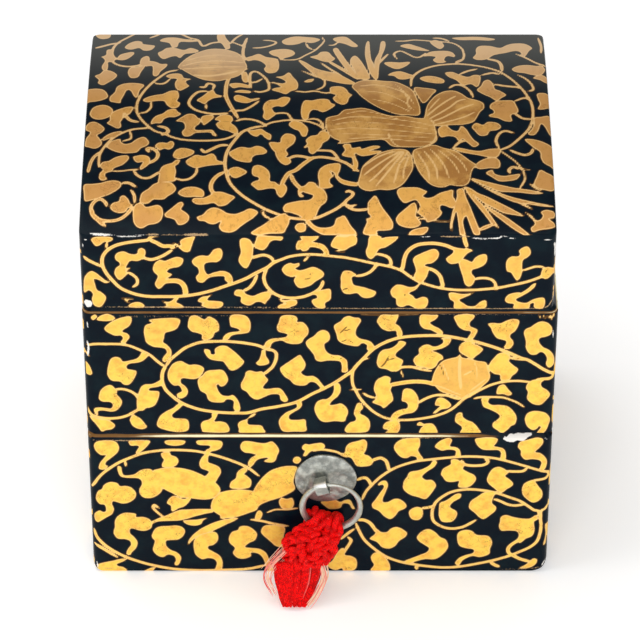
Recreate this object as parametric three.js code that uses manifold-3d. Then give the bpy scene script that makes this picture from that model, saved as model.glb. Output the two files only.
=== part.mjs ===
// Lacquer stacking box: two open tiers and a lid with an arched roof, resting rim on rim.
// The bottom tier carries a round pull plate with a staple, a loose ring and a red tassel.
// Millimetres, +Z up, +X right, +Y to the back. The origin is on the underside, at its centre.
import * as THREE from 'three';
import { mergeVertices } from 'three/addons/utils/BufferGeometryUtils.js';
import Module from 'manifold-3d';

const wasm = await Module();
wasm.setup();

// Driving dimensions of the tiers and the lid
const boxWidth = 100;
const boxDepth = 71;
const bottomTierHeight = 40.5;
const middleTierHeight = 34.5;
const lidSkirtHeight = 20;
const roofRise = 3.2;
const roofFullness = 3;
const roofSteps = 28;
const lidNarrowing = 1.2;
const lidShift = -0.45;
const wall = 3.4;
const bottomFloor = 3;
const middleFloor = 2.6;
const roofThickness = 3.2;
const outerCornerRadius = 1.6;
const innerCornerRadius = 1.2;
const cornerSegments = 5;

// Rims: a gilded slope on the outside, a rebate on the inside that takes the tongue above
const rimSlopeHeight = 1.25;
const rimSlopeDepth = 0.9;
const rimWidth = 1.9;
const rebateDepth = 2;
const tongueDepth = 1.7;
const tongueClearance = 0.35;

// Worn lower corners, seen from the front
const bottomLeftWear = 2.4;
const bottomRightWear = 3.6;
const middleCornerWear = 0.6;
const lidLeftWear = 0.5;
const lidRightWear = 1.3;
const wearSegments = 7;

// Pull: plate, staple and ring, placed on the front face of the bottom tier
const plateX = 1.2;
const plateZ = 27.9;
const plateRadius = 6.7;
const plateEdge = 0.6;
const plateCrown = 1.25;
const plateSides = 40;
const crownSteps = 6;
const stapleOffsetX = -0.8;
const stapleOffsetZ = 0.4;
const stapleLean = THREE.MathUtils.degToRad(19);
const stapleWidth = 2.7;
const stapleStrip = 0.55;
const staplePlay = 0.35;
const eyeFillet = 0.8;
const eyeHoleFillet = 0.4;
const prongLength = 4.5;
const fitGap = 0.3;
const ringRadius = 6.25;
const ringWire = 0.75;
const ringOut = 3.3;
const ringWireSegments = 12;
const ringSegments = 44;

// Tassel: cords looped round the ring, a knotted head and a fringe that lies on the table
const cordRadius = 1.15;
const cordSpacing = 1.9;
const cordSqueeze = 0.8;
const loopTop = 4.1;
const loopForward = 0.6;
const loopTail = 0.55;
const cordSides = 5;
const cordSteps = 14;
const leftLoopAngle = THREE.MathUtils.degToRad(40);
const rightLoopAngle = THREE.MathUtils.degToRad(-4);
const headCentre = { x: -2.9, out: 5.3, z: 12.6 };
const headHalf = { x: 5.6, out: 3.6, z: 6.2 };
const headLean = THREE.MathUtils.degToRad(-30);
const headRows = 4;
const headColumns = 3;
const headLump = { x: 1.8, out: 1.55, z: 2.5 };
const headLumpCross = 0.6;
const headSpread = 0.85;
const headRound = 0.8;
const headProud = 0.72;
const headSides = 10;
const lumpSides = 6;
const fringeStart = { x: -4.8, out: 6.2, z: 7.6 };
const fringeEnd = { x: -5.6, out: 12.2, z: 0.7 };
const fringeStartHalf = { x: 5.4, out: 2.9 };
const fringeEndHalf = { x: 2.3, out: 0.7 };
const fringeFlutes = 11;
const fringeFluteDepth = 0.09;
const fringeSides = 44;
const fringeSteps = 6;
const fringeSlope = 0.7;
const fringeTaper = 1.5;
const fringeDroop = 0.8;
const tableClearance = 0.1;

// Worked out from the sizes above
const lidWidth = boxWidth - lidNarrowing;
const middleTierZ = bottomTierHeight;
const lidZ = bottomTierHeight + middleTierHeight;
const frontY = -boxDepth / 2;
const tongueInset = rimWidth + tongueClearance;
const cutMargin = 5;

// Exact turns, which keep flat faces flat: Y becomes Z and Z becomes -Y, or X, Y, Z become Y, Z, X
const quarterTurn = new THREE.Matrix4().set(1, 0, 0, 0, 0, 0, -1, 0, 0, 1, 0, 0, 0, 0, 0, 1);
const cyclicTurn = new THREE.Matrix4().set(0, 0, 1, 0, 1, 0, 0, 0, 0, 1, 0, 0, 0, 0, 0, 1);

// Colours, from the photograph
const blackLacquer = new THREE.MeshStandardMaterial({ color: 0x0b1720, roughness: 0.28, metalness: 0 });
const greyMetal = new THREE.MeshStandardMaterial({ color: 0x7d807c, roughness: 0.5, metalness: 0.85 });
const redSilk = new THREE.MeshStandardMaterial({ color: 0xd80d0a, roughness: 0.75, metalness: 0 });

// Solids

function solidOf(geometry) {
  const bare = geometry.clone();
  bare.deleteAttribute('normal');
  bare.deleteAttribute('uv');
  const merged = mergeVertices(bare, 1e-5);
  const vertProperties = new Float32Array(merged.attributes.position.array);
  const triVerts = new Uint32Array(merged.index.array);
  return new wasm.Manifold(new wasm.Mesh({ numProp: 3, vertProperties, triVerts }));
}

function geometryOf(solid) {
  const mesh = solid.getMesh();
  const geometry = new THREE.BufferGeometry();
  geometry.setAttribute('position', new THREE.BufferAttribute(new Float32Array(mesh.vertProperties), 3));
  geometry.setIndex(new THREE.BufferAttribute(new Uint32Array(mesh.triVerts), 1));
  geometry.computeVertexNormals();
  return geometry;
}

function joined(solids) {
  return solids.reduce((whole, next) => whole.add(next));
}

function namedMesh(name, geometry, material) {
  const mesh = new THREE.Mesh(geometry, material);
  mesh.name = name;
  return mesh;
}

// Outlines

function evenCorners(radius) {
  return [radius, radius, radius, radius];
}

function roundedRectangle(width, height, radii) {
  const [bottomLeft, bottomRight, topRight, topLeft] = radii;
  const x = width / 2;
  const y = height / 2;
  const shape = new THREE.Shape();
  shape.moveTo(-x + bottomLeft, -y);
  shape.lineTo(x - bottomRight, -y);
  shape.absarc(x - bottomRight, -y + bottomRight, bottomRight, -Math.PI / 2, 0, false);
  shape.lineTo(x, y - topRight);
  shape.absarc(x - topRight, y - topRight, topRight, 0, Math.PI / 2, false);
  shape.lineTo(-x + topLeft, y);
  shape.absarc(-x + topLeft, y - topLeft, topLeft, Math.PI / 2, Math.PI, false);
  shape.lineTo(-x, -y + bottomLeft);
  shape.absarc(-x + bottomLeft, -y + bottomLeft, bottomLeft, Math.PI, Math.PI * 1.5, false);
  return shape;
}

// A plan outline of even corners, inset from the walls' outside
function plan(width, inset, radius) {
  return roundedRectangle(width - 2 * inset, boxDepth - 2 * inset, evenCorners(radius));
}

// An upright prism on a plan outline, from one height to another
function uprightPrism(shape, from, to) {
  const geometry = new THREE.ExtrudeGeometry(shape, {
    depth: to - from, bevelEnabled: false, curveSegments: cornerSegments,
  });
  geometry.translate(0, 0, from);
  return solidOf(geometry);
}

// The outside of a tier up to its rim, with the gilded slope round the top edge
function rimmedPrism(shape, from, to) {
  const geometry = new THREE.ExtrudeGeometry(shape, {
    depth: to - from - 2 * rimSlopeHeight,
    bevelEnabled: true,
    bevelThickness: rimSlopeHeight,
    bevelSize: rimSlopeDepth,
    bevelOffset: -rimSlopeDepth,
    bevelSegments: 1,
    curveSegments: cornerSegments,
  });
  geometry.translate(0, 0, from + rimSlopeHeight);
  return solidOf(geometry);
}

// The front elevation of a piece, run from front to back: it gives the worn lower corners
function elevationPrism(width, height, leftWear, rightWear) {
  const square = 0;
  const shape = roundedRectangle(width, height, [leftWear, rightWear, square, square]);
  const geometry = new THREE.ExtrudeGeometry(shape, {
    depth: boxDepth + 2 * cutMargin, bevelEnabled: false, curveSegments: wearSegments,
  });
  geometry.translate(0, height / 2, -boxDepth / 2 - cutMargin);
  geometry.applyMatrix4(quarterTurn);
  return solidOf(geometry);
}

// Height of the roof above its springing, from front (-1) to back (1)
function roofHeight(along) {
  return roofRise * (1 - Math.abs(along) ** roofFullness);
}

// The side view of the lid, run across its width: upright skirt below, arch above
function archPrism(width, halfDepth, springing, from) {
  const shape = new THREE.Shape();
  shape.moveTo(-halfDepth, from);
  for (let step = 0; step <= roofSteps; step += 1) {
    const along = -1 + (2 * step) / roofSteps;
    shape.lineTo(along * halfDepth, springing + roofHeight(along * halfDepth * 2 / boxDepth)
      - roofHeight(halfDepth * 2 / boxDepth));
  }
  shape.lineTo(halfDepth, from);
  shape.closePath();
  const geometry = new THREE.ExtrudeGeometry(shape, { depth: width, bevelEnabled: false });
  geometry.translate(0, 0, -width / 2);
  geometry.applyMatrix4(cyclicTurn);
  return solidOf(geometry);
}

// Tiers and lid, each from its own lower edge at zero

// Hollow of a tier: the inside above the floor, and the rebate at its mouth
function tierHollow(height, floor) {
  const inside = uprightPrism(plan(boxWidth, wall, innerCornerRadius), floor, height + cutMargin);
  const mouthPlan = plan(boxWidth, rimWidth, innerCornerRadius);
  const mouth = uprightPrism(mouthPlan, height - rebateDepth, height + cutMargin);
  return inside.add(mouth);
}

// The tongue under a piece, which drops into the mouth below it
function tongue(upTo) {
  return uprightPrism(plan(boxWidth, tongueInset, innerCornerRadius), -tongueDepth, upTo);
}

function bottomTier() {
  const outside = rimmedPrism(plan(boxWidth, 0, outerCornerRadius), -cutMargin, bottomTierHeight)
    .intersect(elevationPrism(boxWidth, bottomTierHeight, bottomLeftWear, bottomRightWear));
  return outside
    .subtract(tierHollow(bottomTierHeight, bottomFloor))
    .subtract(shankHole());
}

function middleTier() {
  const outside = rimmedPrism(plan(boxWidth, 0, outerCornerRadius), -cutMargin, middleTierHeight)
    .intersect(elevationPrism(boxWidth, middleTierHeight, middleCornerWear, middleCornerWear));
  return outside
    .add(tongue(middleFloor))
    .subtract(tierHollow(middleTierHeight, middleFloor));
}

function lid() {
  const above = lidSkirtHeight + roofRise + cutMargin;
  const outside = archPrism(lidWidth, boxDepth / 2, lidSkirtHeight, 0)
    .intersect(uprightPrism(plan(lidWidth, 0, outerCornerRadius), -cutMargin, above))
    .intersect(elevationPrism(lidWidth, above, lidLeftWear, lidRightWear))
    .translate([lidShift, 0, 0]);
  const innerHalfDepth = boxDepth / 2 - wall;
  const innerSpringing = lidSkirtHeight - roofThickness + roofHeight(innerHalfDepth * 2 / boxDepth);
  const inside = archPrism(lidWidth - 2 * wall, innerHalfDepth, innerSpringing, -cutMargin)
    .intersect(uprightPrism(plan(lidWidth, wall, innerCornerRadius), -cutMargin, above))
    .translate([lidShift, 0, 0]);
  return outside.add(tongue(wall)).subtract(inside);
}

// Pull

// Turns a solid made about +Z, with +Y as its own up, to point out of the front face
function facingFront(geometry) {
  return geometry.applyMatrix4(quarterTurn);
}

// The leaning frame of the staple: its +X runs across the strip, +Y is its own up
function stapleFrame() {
  const lean = new THREE.Matrix4().makeRotationY(-stapleLean);
  const place = new THREE.Matrix4().makeTranslation(plateX + stapleOffsetX, frontY, plateZ + stapleOffsetZ);
  return place.multiply(lean);
}

// A box of the staple's shank, widened by a gap on each side
function shankBlock(gap, from, to) {
  const geometry = new THREE.BoxGeometry(stapleWidth + 2 * gap, 2 * stapleStrip + 2 * gap, to - from);
  geometry.translate(0, 0, (from + to) / 2);
  return solidOf(facingFront(geometry).applyMatrix4(stapleFrame()));
}

function shankHole() {
  return shankBlock(fitGap, -wall - cutMargin / 2, cutMargin);
}

// A slightly domed disc with a low edge and a slot for the staple
function pullPlate() {
  const profile = [[0, 0], [plateRadius, 0], [plateRadius, plateEdge]];
  for (let step = 1; step <= crownSteps; step += 1) {
    const share = 1 - step / crownSteps;
    profile.push([plateRadius * share, plateEdge + (plateCrown - plateEdge) * (1 - share ** 2)]);
  }
  const points = profile.map(([radius, height]) => new THREE.Vector2(radius, height));
  const disc = new THREE.LatheGeometry(points, plateSides).applyMatrix4(quarterTurn);
  const plate = solidOf(facingFront(disc)).translate([plateX, frontY, plateZ]);
  return plate.subtract(shankHole());
}

// A folded strip: square eye round the ring, shank through plate and wall, two prongs inside
function pullStaple() {
  const eyeHalf = ringWire + staplePlay;
  const eyeOuter = eyeHalf + stapleStrip;
  const shape = roundedRectangle(2 * eyeOuter, 2 * eyeOuter, evenCorners(eyeFillet));
  shape.holes.push(roundedRectangle(2 * eyeHalf, 2 * eyeHalf, evenCorners(eyeHoleFillet)));
  const eye = new THREE.ExtrudeGeometry(shape, {
    depth: stapleWidth, bevelEnabled: false, curveSegments: cornerSegments,
  });
  eye.translate(0, 0, -stapleWidth / 2);
  eye.rotateY(Math.PI / 2);
  eye.translate(0, 0, ringOut);
  const prongGeometry = new THREE.BoxGeometry(stapleWidth, 2 * prongLength, stapleStrip);
  prongGeometry.translate(0, 0, -wall - fitGap - stapleStrip / 2);
  const prongs = solidOf(facingFront(prongGeometry).applyMatrix4(stapleFrame()));
  const shank = shankBlock(0, -wall - fitGap - stapleStrip / 2, ringOut - eyeHalf - stapleStrip / 2);
  return solidOf(facingFront(eye).applyMatrix4(stapleFrame())).add(shank).add(prongs);
}

// Centre of the ring, hung so that its wire passes through the staple's eye
function ringCentre() {
  return {
    x: plateX + stapleOffsetX + ringRadius * Math.sin(stapleLean),
    z: plateZ + stapleOffsetZ - ringRadius * Math.cos(stapleLean),
  };
}

function ringGeometry(wire) {
  const { x, z } = ringCentre();
  const geometry = new THREE.TorusGeometry(ringRadius, wire, ringWireSegments, ringSegments);
  facingFront(geometry);
  geometry.translate(x, frontY - ringOut, z);
  return geometry;
}

// Tassel

function inFront(x, out, z) {
  return new THREE.Vector3(x, frontY - out, z);
}

// One cord over the ring's wire: up behind it, over, and down in front into the head
function cordLoop(angle, sideways) {
  const { x, z } = ringCentre();
  const inward = { x: Math.sin(angle), z: Math.cos(angle) };
  const wireX = x - inward.x * ringRadius + inward.z * sideways;
  const wireZ = z - inward.z * ringRadius - inward.x * sideways;
  const clear = ringWire + fitGap + cordRadius * cordSqueeze;
  const stations = [
    [0, -clear],
    [loopTop * 0.8, -clear * 0.7],
    [loopTop, clear * 0.15],
    [loopTop * 0.7, clear],
    [0, clear + loopForward],
  ];
  const over = stations.map(([up, out]) => (
    inFront(wireX + inward.x * up, ringOut + out, wireZ + inward.z * up)
  ));
  const tail = inFront(
    THREE.MathUtils.lerp(wireX, headCentre.x, loopTail),
    headCentre.out,
    THREE.MathUtils.lerp(wireZ, headCentre.z, loopTail),
  );
  const behind = tail.clone().add(new THREE.Vector3(0, clear, 0));
  const ahead = tail.clone().sub(new THREE.Vector3(0, cordRadius, 0));
  const points = [behind, ...over, ahead];
  const section = new THREE.Shape();
  section.absarc(0, 0, cordRadius, 0, Math.PI * 2, false);
  const geometry = new THREE.ExtrudeGeometry(section, {
    extrudePath: new THREE.CatmullRomCurve3(points),
    steps: cordSteps,
    bevelEnabled: false,
    curveSegments: cordSides,
  });
  return solidOf(geometry);
}

function ellipsoid(centre, half, lean, detail) {
  const geometry = new THREE.SphereGeometry(1, 2 * detail, detail);
  geometry.scale(half.x, half.out, half.z);
  geometry.rotateY(lean);
  const { x, y, z } = inFront(centre.x, centre.out, centre.z);
  geometry.translate(x, y, z);
  return solidOf(geometry);
}

// The knotted head: a core with rows of crossing lumps over its front and sides
function tasselHead() {
  const parts = [ellipsoid(headCentre, headHalf, headLean, headSides)];
  for (let row = 0; row < headRows; row += 1) {
    const up = (row + 0.5) / headRows * 2 - 1;
    const girth = Math.sqrt(1 - (up * headRound) ** 2);
    for (let column = 0; column < headColumns; column += 1) {
      const across = (column + (row % 2) * 0.5 + 0.25) / headColumns * 2 - 1;
      const alongX = across * headHalf.x * headSpread * girth;
      const alongZ = up * headHalf.z * headSpread;
      const centre = {
        x: headCentre.x + alongX * Math.cos(headLean) + alongZ * Math.sin(headLean),
        out: headCentre.out + headHalf.out * headProud * girth * Math.sqrt(1 - (across * headRound) ** 2),
        z: headCentre.z - alongX * Math.sin(headLean) + alongZ * Math.cos(headLean),
      };
      const cross = row % 2 ? headLumpCross : -headLumpCross;
      parts.push(ellipsoid(centre, headLump, headLean + cross, lumpSides));
    }
  }
  return joined(parts);
}

// The fringe: fluted sections from the head down to the flat tip on the table
function tasselFringe() {
  const positions = [];
  const index = [];
  for (let step = 0; step <= fringeSteps; step += 1) {
    const along = step / fringeSteps;
    const halfX = THREE.MathUtils.lerp(fringeStartHalf.x, fringeEndHalf.x, along ** fringeTaper);
    const halfOut = THREE.MathUtils.lerp(fringeStartHalf.out, fringeEndHalf.out, along);
    const centre = {
      x: THREE.MathUtils.lerp(fringeStart.x, fringeEnd.x, along),
      out: THREE.MathUtils.lerp(fringeStart.out, fringeEnd.out, along),
      z: THREE.MathUtils.lerp(fringeStart.z, fringeEnd.z, along ** fringeDroop),
    };
    for (let side = 0; side < fringeSides; side += 1) {
      const angle = (side / fringeSides) * Math.PI * 2;
      const flute = 1 + fringeFluteDepth * Math.cos(angle * fringeFlutes + along);
      const across = Math.cos(angle) * halfX * flute;
      const thick = Math.sin(angle) * halfOut * flute;
      const raised = thick * fringeSlope;
      const point = inFront(centre.x + across, centre.out + raised, centre.z + raised);
      positions.push(point.x, point.y, point.z);
    }
  }
  const first = positions.length / 3;
  const start = inFront(fringeStart.x, fringeStart.out, fringeStart.z);
  const end = inFront(fringeEnd.x, fringeEnd.out, fringeEnd.z);
  positions.push(start.x, start.y, start.z, end.x, end.y, end.z);
  const last = fringeSteps * fringeSides;
  for (let side = 0; side < fringeSides; side += 1) {
    const next = (side + 1) % fringeSides;
    for (let step = 0; step < fringeSteps; step += 1) {
      const low = step * fringeSides;
      const high = low + fringeSides;
      index.push(low + side, low + next, high + next, low + side, high + next, high + side);
    }
    index.push(first, next, side, first + 1, last + side, last + next);
  }
  const geometry = new THREE.BufferGeometry();
  geometry.setAttribute('position', new THREE.Float32BufferAttribute(positions, 3));
  geometry.setIndex(index);
  return solidOf(geometry);
}

// The room the tassel may fill: in front of the box, above the table
function tasselRoom() {
  const size = { x: boxWidth, y: boxDepth, z: bottomTierHeight };
  const geometry = new THREE.BoxGeometry(size.x, size.y, size.z);
  geometry.translate(0, frontY - fitGap - size.y / 2, tableClearance + size.z / 2);
  return solidOf(geometry);
}

function tassel() {
  const loops = [];
  for (const angle of [leftLoopAngle, rightLoopAngle]) {
    for (const side of [-0.5, 0.5]) {
      loops.push(cordLoop(angle, side * cordSpacing));
    }
  }
  return joined([tasselHead(), tasselFringe(), ...loops])
    .intersect(tasselRoom())
    .subtract(solidOf(ringGeometry(ringWire + fitGap)));
}

// The whole box

const group = new THREE.Group();

const bottomTierMesh = namedMesh('bottom_tier', geometryOf(bottomTier()), blackLacquer);
const middleTierMesh = namedMesh('middle_tier', geometryOf(middleTier()), blackLacquer);
middleTierMesh.position.z = middleTierZ;
const lidMesh = namedMesh('lid', geometryOf(lid()), blackLacquer);
lidMesh.position.z = lidZ;
group.add(bottomTierMesh, middleTierMesh, lidMesh);

group.add(namedMesh('pull_plate', geometryOf(pullPlate()), greyMetal));
group.add(namedMesh('pull_staple', geometryOf(pullStaple()), greyMetal));
group.add(namedMesh('pull_ring', ringGeometry(ringWire), greyMetal));
group.add(namedMesh('tassel', geometryOf(tassel()), redSilk));

export default group;
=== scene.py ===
# %% [markdown]
# A small black lacquer box stands on a pale table: a bottom tier with a pewter ring pull and a
# red silk tassel, a middle tier above it, and an arched lid. Gold leaves and vines are painted
# over the black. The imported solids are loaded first, because every piece here is drawn in their
# frame, in metres.
# %% The frame
import math

import bpy
import numpy as np
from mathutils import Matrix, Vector


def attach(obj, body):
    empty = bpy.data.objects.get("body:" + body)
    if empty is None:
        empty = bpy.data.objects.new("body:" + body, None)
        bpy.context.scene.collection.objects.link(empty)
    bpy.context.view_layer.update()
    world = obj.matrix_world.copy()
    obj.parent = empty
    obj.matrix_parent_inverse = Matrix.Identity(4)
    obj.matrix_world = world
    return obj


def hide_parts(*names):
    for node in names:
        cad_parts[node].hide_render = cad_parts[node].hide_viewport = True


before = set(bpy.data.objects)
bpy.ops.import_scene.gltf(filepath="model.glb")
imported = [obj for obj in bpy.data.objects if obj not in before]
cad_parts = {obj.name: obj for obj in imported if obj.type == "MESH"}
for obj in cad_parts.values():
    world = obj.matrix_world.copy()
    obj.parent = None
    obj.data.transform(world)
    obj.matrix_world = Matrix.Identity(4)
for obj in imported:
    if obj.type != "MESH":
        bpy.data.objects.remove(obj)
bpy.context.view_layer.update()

MM = 0.001
TINY = 1e-9
print("nodes:", ", ".join(sorted(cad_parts)))

# %% [markdown]
# The photograph looks down on the box with a long lens. The camera stands straight in front,
# tilted down, and its distance sets how much the box narrows towards its foot. The same numbers
# turn a pixel of the photograph into a place on the box, which the painted pattern needs later.
# %% The camera
PHOTO_SIZE = 640
FOCAL_PX = 4144.0
PITCH = math.radians(39.62)
CAMERA_DISTANCE = 870.0
AIM_Z = 72.2
FRONT_Y = -35.5
SENSOR_MM = 36.0
NEAREST_M = 0.05
FARTHEST_M = 10.0
SIN_PITCH = math.sin(PITCH)
COS_PITCH = math.cos(PITCH)

camera_data = bpy.data.cameras.new("camera")
camera_data.sensor_width = SENSOR_MM
camera_data.lens = FOCAL_PX * SENSOR_MM / PHOTO_SIZE
camera_data.clip_start = NEAREST_M
camera_data.clip_end = FARTHEST_M
camera = bpy.data.objects.new("camera", camera_data)
camera.location = (
    0.0,
    (FRONT_Y - CAMERA_DISTANCE * COS_PITCH) * MM,
    (AIM_Z + CAMERA_DISTANCE * SIN_PITCH) * MM,
)
camera.rotation_euler = (math.pi / 2 - PITCH, 0.0, 0.0)
bpy.context.scene.collection.objects.link(camera)
bpy.context.scene.camera = camera


def from_front(points):
    """Photo pixels to x and z on the front face, where the line of sight meets y = front."""
    points = np.asarray(points, float)
    slope = (PHOTO_SIZE / 2 - points[:, 1]) / FOCAL_PX
    up = CAMERA_DISTANCE * slope / (COS_PITCH + slope * SIN_PITCH)
    depth = CAMERA_DISTANCE - up * SIN_PITCH
    across = (points[:, 0] - PHOTO_SIZE / 2) * depth / FOCAL_PX
    return np.column_stack([across, AIM_Z + up])


print("lens in mm:", round(camera_data.lens, 1))

# %% [markdown]
# The three lacquered pieces are thin-walled boxes with slightly rounded corners. Each is one
# closed skin: a ring of points runs round the walls, and rows of such rings go from the middle
# of the underside out to the edge, up the wall, over the rim and down the inside. The rows lie
# close together on the outside, because the paint is later stored in the points.
# %% The box's sizes
BOX_WIDTH = 100.0
BOX_DEPTH = 71.0
BOTTOM_HEIGHT = 40.5
MIDDLE_HEIGHT = 34.5
SKIRT_HEIGHT = 20.0
ROOF_RISE = 3.2
ROOF_FULLNESS = 3
LID_NARROWING = 1.2
LID_SHIFT = -0.45
WALL = 3.4
BOTTOM_FLOOR = 3.0
MIDDLE_FLOOR = 2.6
ROOF_THICKNESS = 3.2
CORNER = 1.6
INNER_CORNER = 1.2
RIM_SLOPE_HEIGHT = 1.25
RIM_SLOPE_DEPTH = 0.9
RIM_WIDTH = 1.9
REBATE_DEPTH = 2.0
TONGUE_DEPTH = 1.7
TONGUE_INSET = RIM_WIDTH + 0.35
LID_Z = BOTTOM_HEIGHT + MIDDLE_HEIGHT
ARRIS_Z = LID_Z + SKIRT_HEIGHT

# The gaps between points along the front and along the other sides.
TIER_STEPS = (0.37, 0.62)
LID_STEPS = (0.42, 0.42)
CORNER_POINTS = 6


def stations(half, step):
    """Places from -half to half, close together near the rounded corners."""
    fine = np.arange(0.0, CORNER, CORNER / CORNER_POINTS)
    count = int(round(2 * (half - CORNER) / step))
    middle = np.linspace(-half + CORNER, half - CORNER, count)
    return np.concatenate([-half + fine, middle, half - fine[::-1]])


def ring_of(half_x, half_y, radius, shift=0.0, steps=TIER_STEPS):
    """One ring of points round a rectangle with rounded corners.

    A point on the square rectangle is drawn towards the nearest corner's centre until it is
    one radius away from it, which leaves the flats alone and rounds the corners.
    """
    front_step, side_step = steps
    front = stations(BOX_WIDTH / 2, front_step) * half_x / (BOX_WIDTH / 2)
    back = stations(BOX_WIDTH / 2, side_step)[::-1] * half_x / (BOX_WIDTH / 2)
    side = stations(BOX_DEPTH / 2, side_step) * half_y / (BOX_DEPTH / 2)
    x = np.concatenate([front[:-1], np.full(len(side) - 1, half_x), back[:-1],
                        np.full(len(side) - 1, -half_x)])
    y = np.concatenate([np.full(len(front) - 1, -half_y), side[:-1],
                        np.full(len(back) - 1, half_y), side[::-1][:-1]])
    corner_x = np.clip(x, radius - half_x, half_x - radius)
    corner_y = np.clip(y, radius - half_y, half_y - radius)
    away = np.hypot(x - corner_x, y - corner_y)
    away = np.where(away > TINY, away, 1.0)
    return np.column_stack([
        corner_x + (x - corner_x) / away * radius + shift,
        corner_y + (y - corner_y) / away * radius,
    ])


def roof_height(y):
    """Height of the arch over its springing: the rise, less its share of |y| to a power."""
    return ROOF_RISE * (1 - np.abs(y / (BOX_DEPTH / 2)) ** ROOF_FULLNESS)


def worn(points, height, left, right):
    """Rounds the lower corners at both ends, as rubbing does: the heights there are squeezed up
    to stand on a quarter circle."""
    x = points[..., 0]
    z = points[..., 2]
    low = np.zeros_like(x)
    for side, radius in ((-1, left), (1, right)):
        over = np.clip(side * x - (BOX_WIDTH / 2 - radius), 0.0, radius)
        low = low + radius - np.sqrt(radius ** 2 - over ** 2)
    outside = np.clip(1 - z / height, 0.0, 1.0)
    points[..., 2] = z + low * outside
    return points


def new_mesh(name, points, faces, sharp=math.radians(30)):
    """A mesh object in metres from millimetre points, smooth but for its sharp edges."""
    mesh = bpy.data.meshes.new(name)
    mesh.from_pydata((np.asarray(points) * MM).tolist(), [], [list(face) for face in faces])
    mesh.polygons.foreach_set("use_smooth", np.ones(len(mesh.polygons), bool))
    mesh.set_sharp_from_angle(angle=sharp)
    mesh.update()
    piece = bpy.data.objects.new(name, mesh)
    bpy.context.scene.collection.objects.link(piece)
    return piece


def grid_faces(rows, columns, closed=True):
    """Quads between neighbouring rows of a grid whose columns run round and close."""
    row = np.arange(rows - 1)[:, None]
    column = np.arange(columns if closed else columns - 1)[None, :]
    after = (column + 1) % columns
    quads = np.stack([row * columns + column, row * columns + after,
                      (row + 1) * columns + after, (row + 1) * columns + column], axis=-1)
    return quads.reshape(-1, 4)


def capped_faces(rows, columns):
    """The quads of a grid whose columns run round, and a fan of triangles over each end. The
    fans' two points follow the grid's, first the one at the start and then the one at the end."""
    column = np.arange(columns)
    after = (column + 1) % columns
    start = rows * columns
    last_row = start - columns
    first_fan = np.column_stack([np.full(columns, start), after, column])
    last_fan = np.column_stack([np.full(columns, start + 1), last_row + column, last_row + after])
    return grid_faces(rows, columns), np.vstack([first_fan, last_fan])


def shell(name, rings, start, end):
    """A closed skin through rings of points, with its first and last ring drawn to a point."""
    rings = np.asarray(rings)
    rows, columns, _ = rings.shape
    points = np.vstack([rings.reshape(-1, 3), start, end])
    quads, fans = capped_faces(rows, columns)
    faces = quads.tolist() + fans.tolist()
    piece = new_mesh(name, points, faces)
    print(name, "has", len(faces), "faces")
    return piece, points


def level_ring(inset, radius, z, width=BOX_WIDTH, shift=0.0, steps=TIER_STEPS):
    """A ring at one height, inset from the outside."""
    plan = ring_of(width / 2 - inset, BOX_DEPTH / 2 - inset, radius, shift, steps)
    return np.column_stack([plan, np.full(len(plan), z)])

# %% [markdown]
# The tiers are alike: a floor, four walls, and a rim with a sloping outer edge that was gilded.
# Inside the rim is a step that takes the tongue of the piece above.
# %% The tiers
WALL_STEP = 0.37
FOOT_INSETS = (12.0, 5.0, 3.6, 3.0, 2.2, 1.4)
FOOT_EDGE = ((0.7, 0.0), (0.25, 0.06))
WALL_START = 0.3
SLOPE_SHARES = (0.25, 0.5, 0.75, 1.0)
SMALL_ROUND = 0.15
TONGUE_ROUND = 0.4
BOTTOM_WEAR = (2.4, 3.6)
MIDDLE_WEAR = (0.6, 0.6)


def tier(name, base, height, floor, tongue, wear_radii):
    """A tier as rings: underside, wall, sloping rim, step, inside wall and floor."""
    if tongue:
        rings = [
            level_ring(TONGUE_INSET + TONGUE_ROUND, INNER_CORNER, -TONGUE_DEPTH),
            level_ring(TONGUE_INSET, INNER_CORNER, -TONGUE_DEPTH + TONGUE_ROUND),
            level_ring(TONGUE_INSET, INNER_CORNER, 0.0),
        ]
        start_z = -TONGUE_DEPTH
    else:
        rings = [level_ring(inset, CORNER, 0.0) for inset in FOOT_INSETS]
        start_z = 0.0
    outer_start = len(rings) if tongue else 0
    rings += [level_ring(inset, CORNER, z) for inset, z in FOOT_EDGE]
    wall_top = height - RIM_SLOPE_HEIGHT
    count = int(round(wall_top / WALL_STEP))
    rings += [level_ring(0.0, CORNER, z) for z in np.linspace(WALL_START, wall_top, count)]
    rings += [level_ring(RIM_SLOPE_DEPTH * share, CORNER, wall_top + RIM_SLOPE_HEIGHT * share)
              for share in SLOPE_SHARES]
    inside = [
        level_ring(RIM_WIDTH - SMALL_ROUND, INNER_CORNER, height),
        level_ring(RIM_WIDTH, INNER_CORNER, height - SMALL_ROUND),
        level_ring(RIM_WIDTH, INNER_CORNER, height - REBATE_DEPTH),
        level_ring(WALL - SMALL_ROUND, INNER_CORNER, height - REBATE_DEPTH),
        level_ring(WALL, INNER_CORNER, height - REBATE_DEPTH - SMALL_ROUND),
        level_ring(WALL, INNER_CORNER, floor + 0.6),
        level_ring(WALL + 0.2, INNER_CORNER, floor + SMALL_ROUND),
        level_ring(WALL + 0.7, INNER_CORNER, floor),
    ]
    rings += inside
    inner_rows = len(inside)
    rings = np.asarray(rings)
    rings[outer_start:-inner_rows] = worn(rings[outer_start:-inner_rows], height, *wear_radii)
    rings[:, :, 2] += base
    return shell(name, rings, (0.0, 0.0, base + start_z), (0.0, 0.0, base + floor))


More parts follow.
